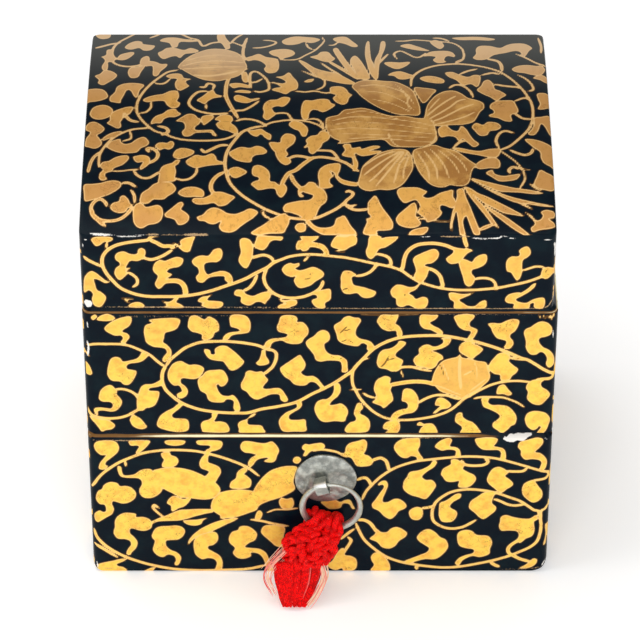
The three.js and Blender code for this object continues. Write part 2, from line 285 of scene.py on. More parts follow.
bottom_tier, bottom_points = tier("bottom_tier_dressed", 0.0, BOTTOM_HEIGHT, BOTTOM_FLOOR,
                                  tongue=False, wear_radii=BOTTOM_WEAR)
middle_tier, middle_points = tier("middle_tier_dressed", BOTTOM_HEIGHT, MIDDLE_HEIGHT, MIDDLE_FLOOR,
                                  tongue=True, wear_radii=MIDDLE_WEAR)

# %% [markdown]
# The lid is an upside-down box whose roof arches from front to back. Its rings start in the
# middle of the ceiling, come down the inside, round the tongue, up the outside wall and then
# close in over the roof, each ring a little smaller than the last, to the middle of the top.
# %% The lid
LID_WIDTH = BOX_WIDTH - LID_NARROWING
ARRIS_ROUND = 0.45
LID_WALL_STEP = 0.43
LID_WEAR = (0.5, 1.3)
CEILING_SHARES = (0.25, 0.5, 0.75, 0.9, 0.985, 1.0)
ROOF_SHRINK = 1 - ARRIS_ROUND / (BOX_DEPTH / 2)
ROUNDING = 0.45


def roof_ring(share):
    """A ring on the roof, the outline shrunk to a share of itself and lifted to the arch."""
    plan = ring_of(LID_WIDTH / 2 * share, BOX_DEPTH / 2 * share, CORNER * share, steps=LID_STEPS)
    z = SKIRT_HEIGHT + roof_height(plan[:, 1])
    return np.column_stack([plan[:, 0] + LID_SHIFT, plan[:, 1], z])


def lid_wall_ring(share):
    """A ring on the skirt, at a share of the height from its edge to the arch above."""
    plan = ring_of(LID_WIDTH / 2, BOX_DEPTH / 2, CORNER, steps=LID_STEPS)
    z = (SKIRT_HEIGHT + roof_height(plan[:, 1]) - ARRIS_ROUND) * share
    return np.column_stack([plan[:, 0] + LID_SHIFT, plan[:, 1], z])


def ceiling_ring(share):
    """A ring under the roof, one roof thickness below it."""
    plan = ring_of((LID_WIDTH / 2 - WALL) * share, (BOX_DEPTH / 2 - WALL) * share,
                   INNER_CORNER * share, steps=LID_STEPS)
    z = SKIRT_HEIGHT - ROOF_THICKNESS + roof_height(plan[:, 1])
    return np.column_stack([plan[:, 0] + LID_SHIFT, plan[:, 1], z])


def lid_level_ring(inset, radius, z, width=LID_WIDTH, shift=LID_SHIFT):
    """A level ring with the lid's closer places."""
    return level_ring(inset, radius, z, width, shift, LID_STEPS)


def roof_grid(edge):
    """The roof as a grid of x and y inside its edge ring. Near a corner the grid is square and
    the edge is round, so a point's distance from the corner's centre is measured along the
    square and laid off along the circle.
    """
    across = stations(BOX_WIDTH / 2, LID_STEPS[0]) * LID_WIDTH / BOX_WIDTH
    deep = stations(BOX_DEPTH / 2, LID_STEPS[1])
    x, y = np.meshgrid(across[1:-1] * ROOF_SHRINK, deep[1:-1] * ROOF_SHRINK)
    corner = CORNER * ROOF_SHRINK
    half_x = LID_WIDTH / 2 * ROOF_SHRINK
    half_y = BOX_DEPTH / 2 * ROOF_SHRINK
    corner_x = np.clip(x, corner - half_x, half_x - corner)
    corner_y = np.clip(y, corner - half_y, half_y - corner)
    away_x = x - corner_x
    away_y = y - corner_y
    straight = np.maximum(np.hypot(away_x, away_y), TINY)
    squeeze = np.maximum(np.abs(away_x), np.abs(away_y)) / straight
    x = corner_x + away_x * squeeze + LID_SHIFT
    y = corner_y + away_y * squeeze
    points = np.stack([x, y, SKIRT_HEIGHT + roof_height(y)], axis=-1).reshape(-1, 3)
    columns = len(across)
    rows = len(deep)
    around = 2 * (columns + rows) - 4
    index = np.zeros((rows, columns), int)
    index[1:-1, 1:-1] = edge + around + np.arange(len(points)).reshape(rows - 2, -1)
    index[0, :] = edge + np.arange(columns)
    index[:, -1] = edge + columns - 1 + np.arange(rows)
    index[-1, ::-1] = edge + columns + rows - 2 + np.arange(columns)
    left = columns * 2 + rows - 3 + np.arange(rows)
    index[::-1, 0] = edge + left % around
    faces = np.stack([index[:-1, :-1], index[:-1, 1:], index[1:, 1:], index[1:, :-1]], axis=-1)
    return points, faces.reshape(-1, 4)


def lid():
    """The lid: rings from the middle of the ceiling to the roof's edge, then the roof's grid."""
    rings = [ceiling_ring(share) for share in CEILING_SHARES]
    rings += [
        lid_level_ring(WALL, INNER_CORNER, 0.0),
        lid_level_ring(WALL - 0.05, INNER_CORNER, -TONGUE_DEPTH, BOX_WIDTH - LID_NARROWING),
        lid_level_ring(TONGUE_INSET + 0.3, INNER_CORNER, -TONGUE_DEPTH, BOX_WIDTH, 0.0),
        lid_level_ring(TONGUE_INSET, INNER_CORNER, -TONGUE_DEPTH + 0.3, BOX_WIDTH, 0.0),
        lid_level_ring(TONGUE_INSET, INNER_CORNER, 0.0, BOX_WIDTH, 0.0),
    ]
    outer_start = len(rings)
    rings.append(lid_level_ring(0.5, CORNER, 0.0))
    rings.append(lid_level_ring(0.15, CORNER, 0.05))
    count = int(round(SKIRT_HEIGHT / LID_WALL_STEP))
    rings += [lid_wall_ring(share) for share in np.linspace(0.015, 1.0, count)]
    edge_ring = roof_ring(ROOF_SHRINK)
    corner = np.column_stack([lid_wall_ring(1.0)[:, :2], roof_ring(1.0)[:, 2]])
    rings.append(ROUNDING / 2 * (rings[-1] + edge_ring) + (1 - ROUNDING) * corner)
    rings.append(edge_ring)
    rings = np.asarray(rings)
    rows, columns, _ = rings.shape
    outer = np.arange(rows)[:, None] >= outer_start
    squeezed = worn(rings.copy(), SKIRT_HEIGHT, *LID_WEAR)
    rings = np.where(outer[..., None], squeezed, rings)
    roof, roof_faces = roof_grid((rows - 1) * columns)
    middle = (LID_SHIFT, 0.0, SKIRT_HEIGHT + ROOF_RISE - ROOF_THICKNESS)
    points = np.vstack([rings.reshape(-1, 3), roof, middle]) + (0.0, 0.0, LID_Z)
    column = np.arange(columns)
    fan = np.column_stack([np.full(columns, len(points) - 1), (column + 1) % columns, column])
    faces = grid_faces(rows, columns).tolist() + roof_faces.tolist() + fan.tolist()
    piece = new_mesh("lid_dressed", points, faces)
    print("lid_dressed has", len(faces), "faces")
    return piece, points


lid_piece, lid_points = lid()
for piece, node in ((bottom_tier, "bottom_tier"), (middle_tier, "middle_tier"), (lid_piece, "lid")):
    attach(piece, "root")
    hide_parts(node)

# %% [markdown]
# The gold scroll is paint, so it is colour only. It could be an image, but here it is drawn as
# the painter draws it: vines are strokes of a brush and leaves are closed outlines, both laid out
# in the photograph's pixels. Each point of the lacquer then stores how far it lies from the nearest
# gold edge, and the material turns that distance into fill, pale rim and dark line.
# %% Brush and outline
FAR = 1.2


def curve_through(points, closed, steps=5):
    """A smooth curve through points: each span is a cubic whose slope at a point is half the
    way between that point's neighbours (Catmull-Rom)."""
    points = np.asarray(points, float)
    if closed:
        before, here, after, beyond = (np.roll(points, shift, axis=0) for shift in (1, 0, -1, -2))
    else:
        padded = np.vstack([2 * points[0] - points[1], points, 2 * points[-1] - points[-2]])
        before, here, after, beyond = padded[:-3], padded[1:-2], padded[2:-1], padded[3:]
    t = (np.arange(steps) / steps)[None, :, None]
    before, here, after, beyond = (part[:, None, :] for part in (before, here, after, beyond))
    curve = 0.5 * (2 * here + (after - before) * t
                   + (2 * before - 5 * here + 4 * after - beyond) * t ** 2
                   + (3 * here - before - 3 * after + beyond) * t ** 3)
    curve = curve.reshape(-1, points.shape[1])
    return curve if closed else np.vstack([curve, points[-1]])


def near(points, shape, reach):
    """Which points lie inside a shape's box widened by the reach."""
    low = shape.min(axis=0) - reach
    high = shape.max(axis=0) + reach
    return np.nonzero(np.all((points > low) & (points < high), axis=1))[0]


def gaps_to(points, start, end):
    """How far each point is from each straight piece of a line, and at what share of the piece
    it is nearest."""
    along = end - start
    length = np.maximum((along ** 2).sum(axis=1), TINY)
    away = points[:, None, :] - start[None]
    share = np.clip((away * along[None]).sum(axis=2) / length, 0.0, 1.0)
    return np.linalg.norm(away - share[..., None] * along[None], axis=2), share


def stroke_distance(distance, points, path, half):
    """Lowers each point's distance to that from a stroke: the distance to the nearest place on
    the path, less the half width there."""
    chosen = near(points, path, FAR + half.max())
    if len(chosen) == 0:
        return
    gap, share = gaps_to(points[chosen], path[:-1], path[1:])
    gap = (gap - (half[:-1] + (half[1:] - half[:-1]) * share)).min(axis=1)
    distance[chosen] = np.minimum(distance[chosen], gap)


def leaf_distance(distance, points, outline):
    """Lowers each point's distance to that from a closed outline, negative inside it. A point is
    inside if a line going right from it crosses the outline an odd number of times."""
    chosen = near(points, outline, FAR)
    if len(chosen) == 0:
        return
    start = outline
    end = np.roll(outline, -1, axis=0)
    along = end - start
    here = points[chosen]
    gap = gaps_to(here, start, end)[0].min(axis=1)
    level = (start[None, :, 1] > here[:, None, 1]) != (end[None, :, 1] > here[:, None, 1])
    rise = np.where(np.abs(along[:, 1]) > TINY, along[:, 1], TINY)
    lean = along[:, 0] / rise
    crossing = start[None, :, 0] + (here[:, None, 1] - start[None, :, 1]) * lean[None]
    odd = (level & (crossing > here[:, None, 0])).sum(axis=1) % 2 == 1
    distance[chosen] = np.minimum(distance[chosen], np.where(odd, -gap, gap))


def paint(points, strokes, leaves, place, scale):
    """The distance in mm from each point of a face to the nearest gold edge.

    strokes hold a half width in pixels and then pixels, leaves hold pixels; place turns pixels
    into millimetres on the face, and scale is the size of a pixel there.
    """
    distance = np.full(len(points), FAR)
    for half, *flat in strokes:
        path = place(curve_through(np.reshape(flat, (-1, 2)), closed=False))
        taper = np.minimum(1.0, 0.55 + 0.25 * np.minimum(np.arange(len(path)),
                                                       np.arange(len(path))[::-1]))
        stroke_distance(distance, points, path, half * scale * taper)
    for flat in leaves:
        leaf_distance(distance, points, place(curve_through(np.reshape(flat, (-1, 2)), closed=True)))
    return distance


PIXEL_MM = CAMERA_DISTANCE / FOCAL_PX
print("one pixel is", round(PIXEL_MM, 3), "mm on the front")

# %% [markdown]
# The bottom tier's front: two ovals of vine, the left one with a long winged leaf, the right one
# with a spiral inside it, and leaves on short stems all round.
# %% The bottom tier's scroll
BOTTOM_VINES = [
    (1.8, 92, 487, 100, 476, 110, 468, 120, 462, 132, 457, 145, 452.7, 162, 450.3, 178, 450,
     195, 451, 209, 453.8, 223, 457.7, 237, 462.7, 248, 467.8, 259, 476),
    (1.9, 94, 530, 97, 537, 105, 545, 115, 551.5, 128, 557.7, 145, 563.2, 162, 567, 178, 569.3,
     200, 570.4, 223, 570, 248, 568.8, 266, 565),
    (2.0, 95, 544, 104, 549, 117, 557),
    (1.7, 361.8, 500, 366, 491.5, 371.8, 485, 379.5, 477.7, 388.5, 471.5, 398.5, 466.5, 415, 461.5,
     430, 459.5, 450, 457.5, 465, 456.5, 480, 456.8, 495, 458.3, 510, 461.8, 525, 466, 540, 470.5,
     547, 472, 549, 475, 546, 478, 540, 479.5, 533, 480.5),
    (1.8, 355.7, 523, 359.5, 531.5, 365, 540.5, 375, 549.3, 386, 556.5, 399.5, 561.5, 415, 564.5,
     430, 566.5, 445, 567.5, 460, 566.5, 475, 564, 490, 561, 500, 558.5, 510, 555.5, 520, 551.5,
     530, 547, 537, 541, 540, 533, 541, 525, 540, 517, 538, 511, 534, 510, 528, 506, 520, 501,
     510, 497.5, 500, 494, 490, 491.5, 480, 490, 470, 489.3, 460, 490, 450, 492.5, 442, 497,
     436, 502, 433, 508, 432, 514, 433, 520, 437, 524, 443, 527, 450, 528.5, 458, 528, 465, 526,
     476, 520),
    (1.6, 125, 461, 126, 466),
    (1.6, 163, 516.5, 157, 512, 153, 507.5, 154.5, 505, 159, 508),
    (1.6, 313, 451, 320, 449.5, 330, 450.5, 338, 452.5, 346, 457),
    (2.1, 371, 461, 376, 459, 381, 458, 386, 461, 388, 466, 389, 470),
    (2.0, 357, 480, 362, 478, 366, 478, 369, 481, 371, 485),
    (2.2, 358, 520, 364, 520, 370, 523, 374, 528, 377, 532),
    (1.8, 354, 529, 347, 534, 341, 539),
    (1.9, 348, 537, 351, 540, 350, 543, 346, 549, 343, 554),
    (1.2, 267, 512.5, 276, 509.5, 288, 509.5, 298, 508),
    (1.7, 251, 519.5, 262, 521, 275, 524, 288, 526),
    (1.9, 462, 460.5, 464, 464, 470, 465.5, 480, 465.5, 486, 464, 488, 461, 485, 459),
    (1.8, 506, 471, 515, 471.5, 523, 471, 527, 468),
    (1.8, 494, 499, 500, 501, 508, 504.5, 516, 505.5, 525, 504),
    (1.9, 422, 508, 428, 507.5, 433, 506),
    (2.2, 522, 538, 517, 541, 511, 545, 508, 549, 509, 553, 513, 555.5, 517, 557.5, 522, 559.5,
     530, 561.5),
    (2.2, 490, 562, 495, 565, 499, 566.5),
    (2.2, 416, 566, 417, 569),
    (1.6, 541, 519, 541, 511, 545, 509, 549, 505),
    (1.6, 546, 525, 547, 533, 546, 540, 544, 545),
]
BOTTOM_LEAVES = [
    (94, 446, 96, 442, 103, 440.5, 112, 440.5, 117, 443, 119, 448, 117, 453, 111, 458, 106, 462,
     105.5, 465, 108, 466, 104, 469.5, 99, 468.5, 100, 463, 104, 458, 106, 455, 101, 455, 96, 451),
    (129, 443, 130, 440.5, 149, 440.5, 148, 445, 143, 450, 137, 454, 136, 452, 139, 447,
     137, 445.5, 131, 445.5),
    (166, 444, 166, 440.5, 184, 440.5, 184, 444, 178, 445.5, 172, 445.5),
    (197, 443.5, 198, 440.5, 218, 440.5, 222.5, 443, 221, 448, 216, 450.5, 210, 452.5, 208, 461.5,
     213, 464, 219, 467, 221, 472, 218, 478, 214, 483, 206, 480, 206, 476, 209, 472, 206, 470,
     201, 468, 199.5, 463, 201.5, 458, 205, 454, 206, 450, 210, 448, 209, 445.5, 200, 445),
    (153, 471, 158, 469, 168, 467.5, 180, 468, 190, 470, 198, 473, 206, 477, 213, 481, 217, 484,
     220, 488, 220, 492, 216, 496.5, 212, 498.5, 205, 499.5, 197, 499, 190, 498, 180, 497,
     172, 493, 163, 488.5, 157, 484, 154, 478),
    (152, 470, 146, 469, 140, 470.5, 135, 474, 130, 475.2, 124, 475.2, 122, 472, 121, 467,
     118, 466, 117.5, 469, 119, 474, 122, 477, 130, 477.8, 137, 478, 141, 480, 142, 484,
     139.5, 489, 140, 494, 144, 497.5, 151, 498, 157, 495.5, 161, 492, 162, 488, 158, 478),
    (161.5, 453, 169, 452, 171, 455, 176, 457, 178.5, 461, 176, 465.5, 170, 467.5, 163, 467,
     162, 464, 164, 460, 162, 457),
    (167, 503, 169, 499, 173, 496, 178, 497, 184, 499, 191, 497, 189, 502, 184, 506.5, 179, 508,
     174, 511, 171.5, 510.5, 171, 506),
    (151, 522, 158, 518.5, 165, 516, 172, 513, 180, 510, 188, 509.5, 200, 509, 212, 509.5,
     213, 512, 206, 513.5, 196, 516, 186, 519, 178, 520.5, 168, 520.8, 158, 521.5, 153, 523.5),
    (183, 521, 190, 520, 198, 519.5, 207, 518, 203, 520.5, 201, 524, 195, 525.5, 188, 524.5),
    (211, 505, 213, 499, 217, 495, 222, 492, 232, 490, 242, 489.5, 252, 491, 258, 494, 259, 503,
     256, 510, 250, 512.5, 243, 515, 236, 517, 228, 518, 221, 518.5, 220, 515.5, 216, 513,
     211.5, 509),
    (253, 493, 256, 486, 262, 478, 270, 471, 279, 467.5, 288, 466, 297, 467, 295, 474,
     293.5, 482, 295, 489, 288, 494, 279, 498, 269, 501, 260, 505, 256, 510, 254, 500),
    (188, 544.5, 189, 540, 193, 535, 199, 530, 206, 526, 214, 522.5, 222, 520, 230, 518.5,
     238, 518, 234, 521, 226, 524.5, 219, 528, 210, 532, 202, 534.5, 195, 538, 190, 543),
    (96, 497, 98, 491, 102, 489, 104, 485, 110, 482, 117, 483, 120, 486, 126, 486, 132, 488,
     136, 493, 135, 498, 130, 502, 123, 503.5, 117, 502, 113, 501, 112, 504, 114, 509, 112, 514,
     107, 517, 102, 520, 98, 522, 95, 520, 94.5, 515, 97, 511.5, 100, 510.5, 103, 512, 106, 511,
     105, 505, 100, 504, 97, 501),
    (115, 527, 115, 521, 118, 516, 124, 513, 131, 513, 136, 514, 136, 517, 143, 517, 149, 519,
     152, 523, 151, 528, 146, 530.5, 140, 530.5, 133, 528.5, 130, 529, 130, 533, 134, 537,
     137.5, 542, 136, 548, 132, 552, 130, 555, 126.5, 553.5, 128, 549, 131, 545, 130, 541,
     125, 539, 118, 538.5, 114, 534, 114, 530),
    (152, 535, 155, 529, 160, 526.5, 168, 526, 176, 525.5, 182, 527, 185, 531, 183, 536,
     178, 539.5, 170, 540, 166, 541, 166.5, 546, 171, 550, 177, 552.5, 181, 557, 180, 562,
     177.5, 565.5, 174.5, 564, 176, 560, 174, 556, 168, 554.5, 163, 557, 157, 555, 153, 550,
     154, 545, 155, 541, 152.5, 538),
    (194, 541, 198, 536, 204, 533.5, 211, 532, 216, 532.5, 218, 536, 217.5, 541, 213, 545,
     208.5, 546, 208.5, 549, 214, 552, 220, 556, 222.5, 562, 221.5, 569, 215.5, 569.5, 217, 563,
     214, 559, 208, 558, 202, 559, 196, 555, 194, 549),
    (229, 538, 232, 532, 238, 530, 240, 526.5, 247, 526, 253, 529, 257, 534, 255, 540, 249, 543,
     245, 547, 252, 548, 260, 549, 266, 553, 269, 559, 272, 566, 275, 572, 268, 572, 266, 566,
     263, 558, 258, 553.5, 251, 552.5, 251, 556, 245, 558.5, 238, 558, 233, 553, 235, 548, 230, 543),
    (97, 567, 99, 564, 106, 562, 114, 560.5, 120, 559, 127, 558.5, 123, 561.5, 117, 564,
     118, 566, 123, 567, 127, 570, 126, 573.5, 112, 573.5, 105, 573, 100, 571),
    (142, 573, 146, 570, 152, 567.5, 155, 568, 153, 571.5, 159, 572, 160, 573.5, 150, 574),
    (230, 487.5, 231, 482, 236, 478, 237, 473, 241, 469, 246, 467.5, 247, 471, 244, 474,
     247, 476, 251, 480, 251, 485, 248, 488, 236, 488.5),
    (241, 449, 241, 444, 246, 441, 260, 443, 266, 443, 272, 441.5, 277, 446, 279, 451, 277, 456,
     275, 461, 270, 462.5, 264, 461, 269, 458, 263, 458, 257, 460, 253, 465, 250, 467, 248, 463,
     251, 458, 256, 455, 250, 453, 245, 452.5),
    (302, 447, 305, 444, 309, 444.5, 315, 443.5, 322, 443, 325, 446, 323, 449, 316, 449.5,
     310, 452, 306, 456, 303, 455.5, 305, 451, 303, 449.5),
    (293, 460, 295, 457, 299, 457, 301, 460, 298, 463.5, 294, 462.5),
    (341, 455, 345, 452, 346, 447, 350, 443, 358, 441, 364, 439.5, 367, 443, 366, 450, 364, 454,
     369, 456, 373, 461, 371, 465, 364, 466.5, 357, 466, 354, 462, 351, 458, 346, 456.5),
    (378, 484, 382, 481, 386, 481, 388, 485, 386, 491, 383, 498, 383, 502, 388, 502, 394, 499,
     399, 499, 404, 502, 406.5, 506, 404, 509, 399, 511, 395, 516, 390, 519, 384, 516, 379, 511,
     373, 508, 372, 504, 375, 500, 380, 493, 384, 487, 382, 484.5, 379, 485.5),
    (370, 538, 375, 534, 377, 529, 381, 532, 387, 532, 391, 528.5, 397, 527, 403, 529.5,
     407, 533, 405, 537, 399, 541, 395, 546, 389, 548.5, 382, 547, 377, 542, 371, 539.5),
    (371, 557, 374, 553, 379, 553, 384, 556, 388, 561, 390, 566, 388, 571, 371, 571, 374, 565,
     372, 561),
    (327, 564, 332, 561, 337, 553, 342, 548, 345, 551, 345, 555, 351, 556, 356, 559, 357, 565,
     354, 570, 344, 571, 342, 568, 336, 570, 330, 568),
    (321, 502, 326, 499, 334, 499, 340, 502, 345, 500, 350, 500, 353, 505, 355, 509, 352, 508.5,
     349, 504, 343, 503.5, 340, 508, 330, 509, 325, 506),
    (279, 502, 281, 498, 287, 499, 292, 498, 294, 503, 292, 508, 286, 509, 281, 507),
    (257, 512, 260, 510.5, 262.5, 514, 260, 519, 255, 518.5),
    (261, 531, 264, 526, 272, 525, 280, 526, 285, 528, 284, 535, 283, 541, 284, 547, 276, 546,
     270, 541, 263, 535),
    (394, 447, 397, 442, 403, 439, 412, 438, 419, 438, 420, 445, 418, 450, 420, 454, 423, 459,
     418, 460, 416, 457, 411, 456, 407, 458, 401, 457, 396, 452),
    (403, 487, 404, 481, 407, 477, 410, 472, 418, 470.5, 424, 468.5, 430, 465, 433, 461,
     437, 462, 434, 467, 428, 471, 424, 474, 422, 477, 426, 480, 432, 480, 436, 485, 433, 491,
     429, 496, 425, 499, 418, 497, 411, 495, 405, 491),
    (435, 446, 440, 441, 448, 438, 452, 440, 450, 446, 455, 447, 459, 449, 460.5, 453, 460.5, 457,
     455.5, 457, 456, 452, 454, 450, 448, 449.5, 442, 450.5, 437, 448.5),
    (475, 440, 479, 438, 496, 438, 497, 442, 494, 446, 498, 447, 503, 448.5, 505.5, 452,
     505.5, 459, 500.5, 459, 501, 453, 498, 450, 490, 450, 483, 449.5, 478, 446),
    (518, 447, 520, 442, 527, 440, 535, 438, 542, 438.5, 543, 443, 539, 448, 535, 452, 540, 453,
     545, 457, 547, 462, 545.5, 468, 541.5, 471, 540, 468, 541.5, 463, 539, 460, 532, 459,
     525, 459.5, 521, 455, 521, 451),
    (451, 464, 451, 460, 455, 459, 460, 461, 464, 465, 463, 469, 468, 472, 474, 475, 476, 479,
     473, 484, 468, 487, 460, 487.5, 458, 485, 459, 481, 452, 482, 446, 481, 443, 477, 441, 474,
     443, 469, 448, 466),
    (487, 479, 490, 472, 494, 468, 500, 467, 506, 470, 508, 473, 505, 476, 509, 479, 513, 483,
     512, 486, 507, 489, 503, 492, 499, 492, 494, 488, 489, 484),
    (522, 489, 524, 484, 529, 481, 534, 480, 536, 483, 539, 487, 542, 491, 542, 497, 538, 501,
     533, 502.5, 528, 500, 523, 495),
    (440, 503, 445, 501, 450, 498, 456, 494, 461, 494, 460, 498, 453, 502, 450, 507, 456, 511,
     457, 515, 454, 520, 450, 522, 442, 521.5, 439, 516, 439, 509),
    (469, 506, 471, 501, 477, 497, 483, 493, 489, 491.5, 495, 493, 493, 498, 492, 503, 496, 507,
     495, 511, 490, 515, 484, 519, 479, 517, 475, 513, 470, 509),
    (409, 514, 410, 510, 416, 507, 421, 508, 423, 512, 422, 517, 418, 520, 412, 519),
    (417, 537, 421, 532, 428, 529, 435, 532, 440, 537, 446, 540, 448, 547, 443, 554, 435, 559,
     425, 559, 415, 561.5, 408, 564, 405, 561, 412, 558, 420, 555, 427, 552, 429, 548, 424, 544.5,
     419, 541),
    (458, 533, 465, 530, 472, 531, 477, 535, 488, 536, 492, 542, 490, 549, 489, 554, 480, 557,
     472, 556, 463, 560, 459, 565, 455, 563, 459, 558, 466, 555, 473, 553, 473.5, 549.5,
     466, 548, 460, 546, 457.5, 541),
    (500, 522, 501, 517, 506, 515, 513, 517, 522, 518.5, 530, 518.5, 536, 515, 538, 519, 534, 522,
     534.5, 530, 532, 536, 526, 538.5, 520, 543, 517, 540, 519, 535, 516, 531, 508, 530.5,
     501, 530.5, 499, 526),
    (519, 568, 525, 565, 529, 562, 533, 558.5, 537, 559.5, 536, 563.5, 531, 567, 524, 568.5),
]

# %% [markdown]
# The middle tier's front: a vine runs the whole width in one long S, round an oval with three
# leaves at the left and down to a striped bud with two sepals at the right.
# %% The middle tier's scroll
MIDDLE_VINES = [
    (1.7, 87, 345, 95, 344, 105, 344, 115, 344, 123, 344.5, 130, 346, 140, 350, 150, 355,
     157, 361, 165, 367),
    (2.0, 166, 366, 163, 371, 162, 377, 163, 384, 166, 390, 171, 395, 177, 400, 183, 403.5,
     190, 406.5, 200, 409.5, 212, 411.5, 225, 412.7, 238, 413, 248, 412.7, 262, 409, 275, 407,
     290, 404, 300, 400.5, 312, 394, 325, 388, 336, 382, 345, 376, 352, 371, 358, 364, 365, 357,
     371, 351, 378, 346, 386, 342, 395, 338.8, 404, 337, 415, 336, 430, 335.5, 445, 336,
     455, 337.5, 465, 339.5, 473, 341, 482, 343.5, 492, 346.5, 502, 350, 512, 354, 521, 358,
     528, 360, 535, 364, 543, 369, 549, 372, 553, 374, 553, 377, 549, 378.5, 542, 379, 536, 380),
    (1.9, 166, 366, 170, 360, 177, 354, 185, 348, 193, 344.5, 200, 342.5, 210, 341.5, 225, 341.3,
     238, 342.2, 248, 343.5, 258, 345.5, 268, 349.5, 272, 350, 276, 353, 276, 359, 273, 366,
     268, 371, 264, 374),
    (1.7, 115, 389.5, 122, 389, 130, 391, 136, 395, 139, 400),
    (1.8, 84, 404, 88, 411, 92, 415, 98, 417, 107, 418.3, 117, 418, 126, 416, 133, 412.5,
     140, 408.5, 146, 405),
    (1.1, 357, 363, 364, 359.5, 369, 358),
    (1.7, 355, 366, 353, 371, 352, 378, 353, 385, 356, 391, 360, 398, 366, 405, 374, 412,
     383, 417, 393, 419.5, 404, 420, 414, 419.5, 425, 418, 435, 416, 444, 413, 451, 409.5,
     457, 405, 463, 399.5, 467, 397, 471, 396),
    (1.1, 350, 390, 361, 389.5),
    (1.7, 396, 371, 400, 368, 404, 367, 412, 367, 420, 369, 431, 371),
    (1.1, 401, 371, 403, 377),
    (1.6, 363, 393, 368, 396, 375, 398),
    (2.8, 390, 385, 398, 383.5, 408, 382, 418, 381.5, 428, 382.5, 436, 385),
    (1.7, 508, 357.5, 518, 359, 528, 359.5),
    (1.6, 466, 398, 472, 394.5, 480, 390, 484, 388, 492, 384.5, 502, 382, 512, 381, 520, 381,
     530, 382),
    (1.4, 474, 398.5, 482, 397, 492, 397, 503, 397.5, 511, 400, 518, 403, 524, 407),
    (1.7, 418, 403, 424, 399.5, 431, 396.5, 438, 395, 447, 395.5, 455, 398, 461, 399),
    (1.2, 85, 352, 89, 356),
]
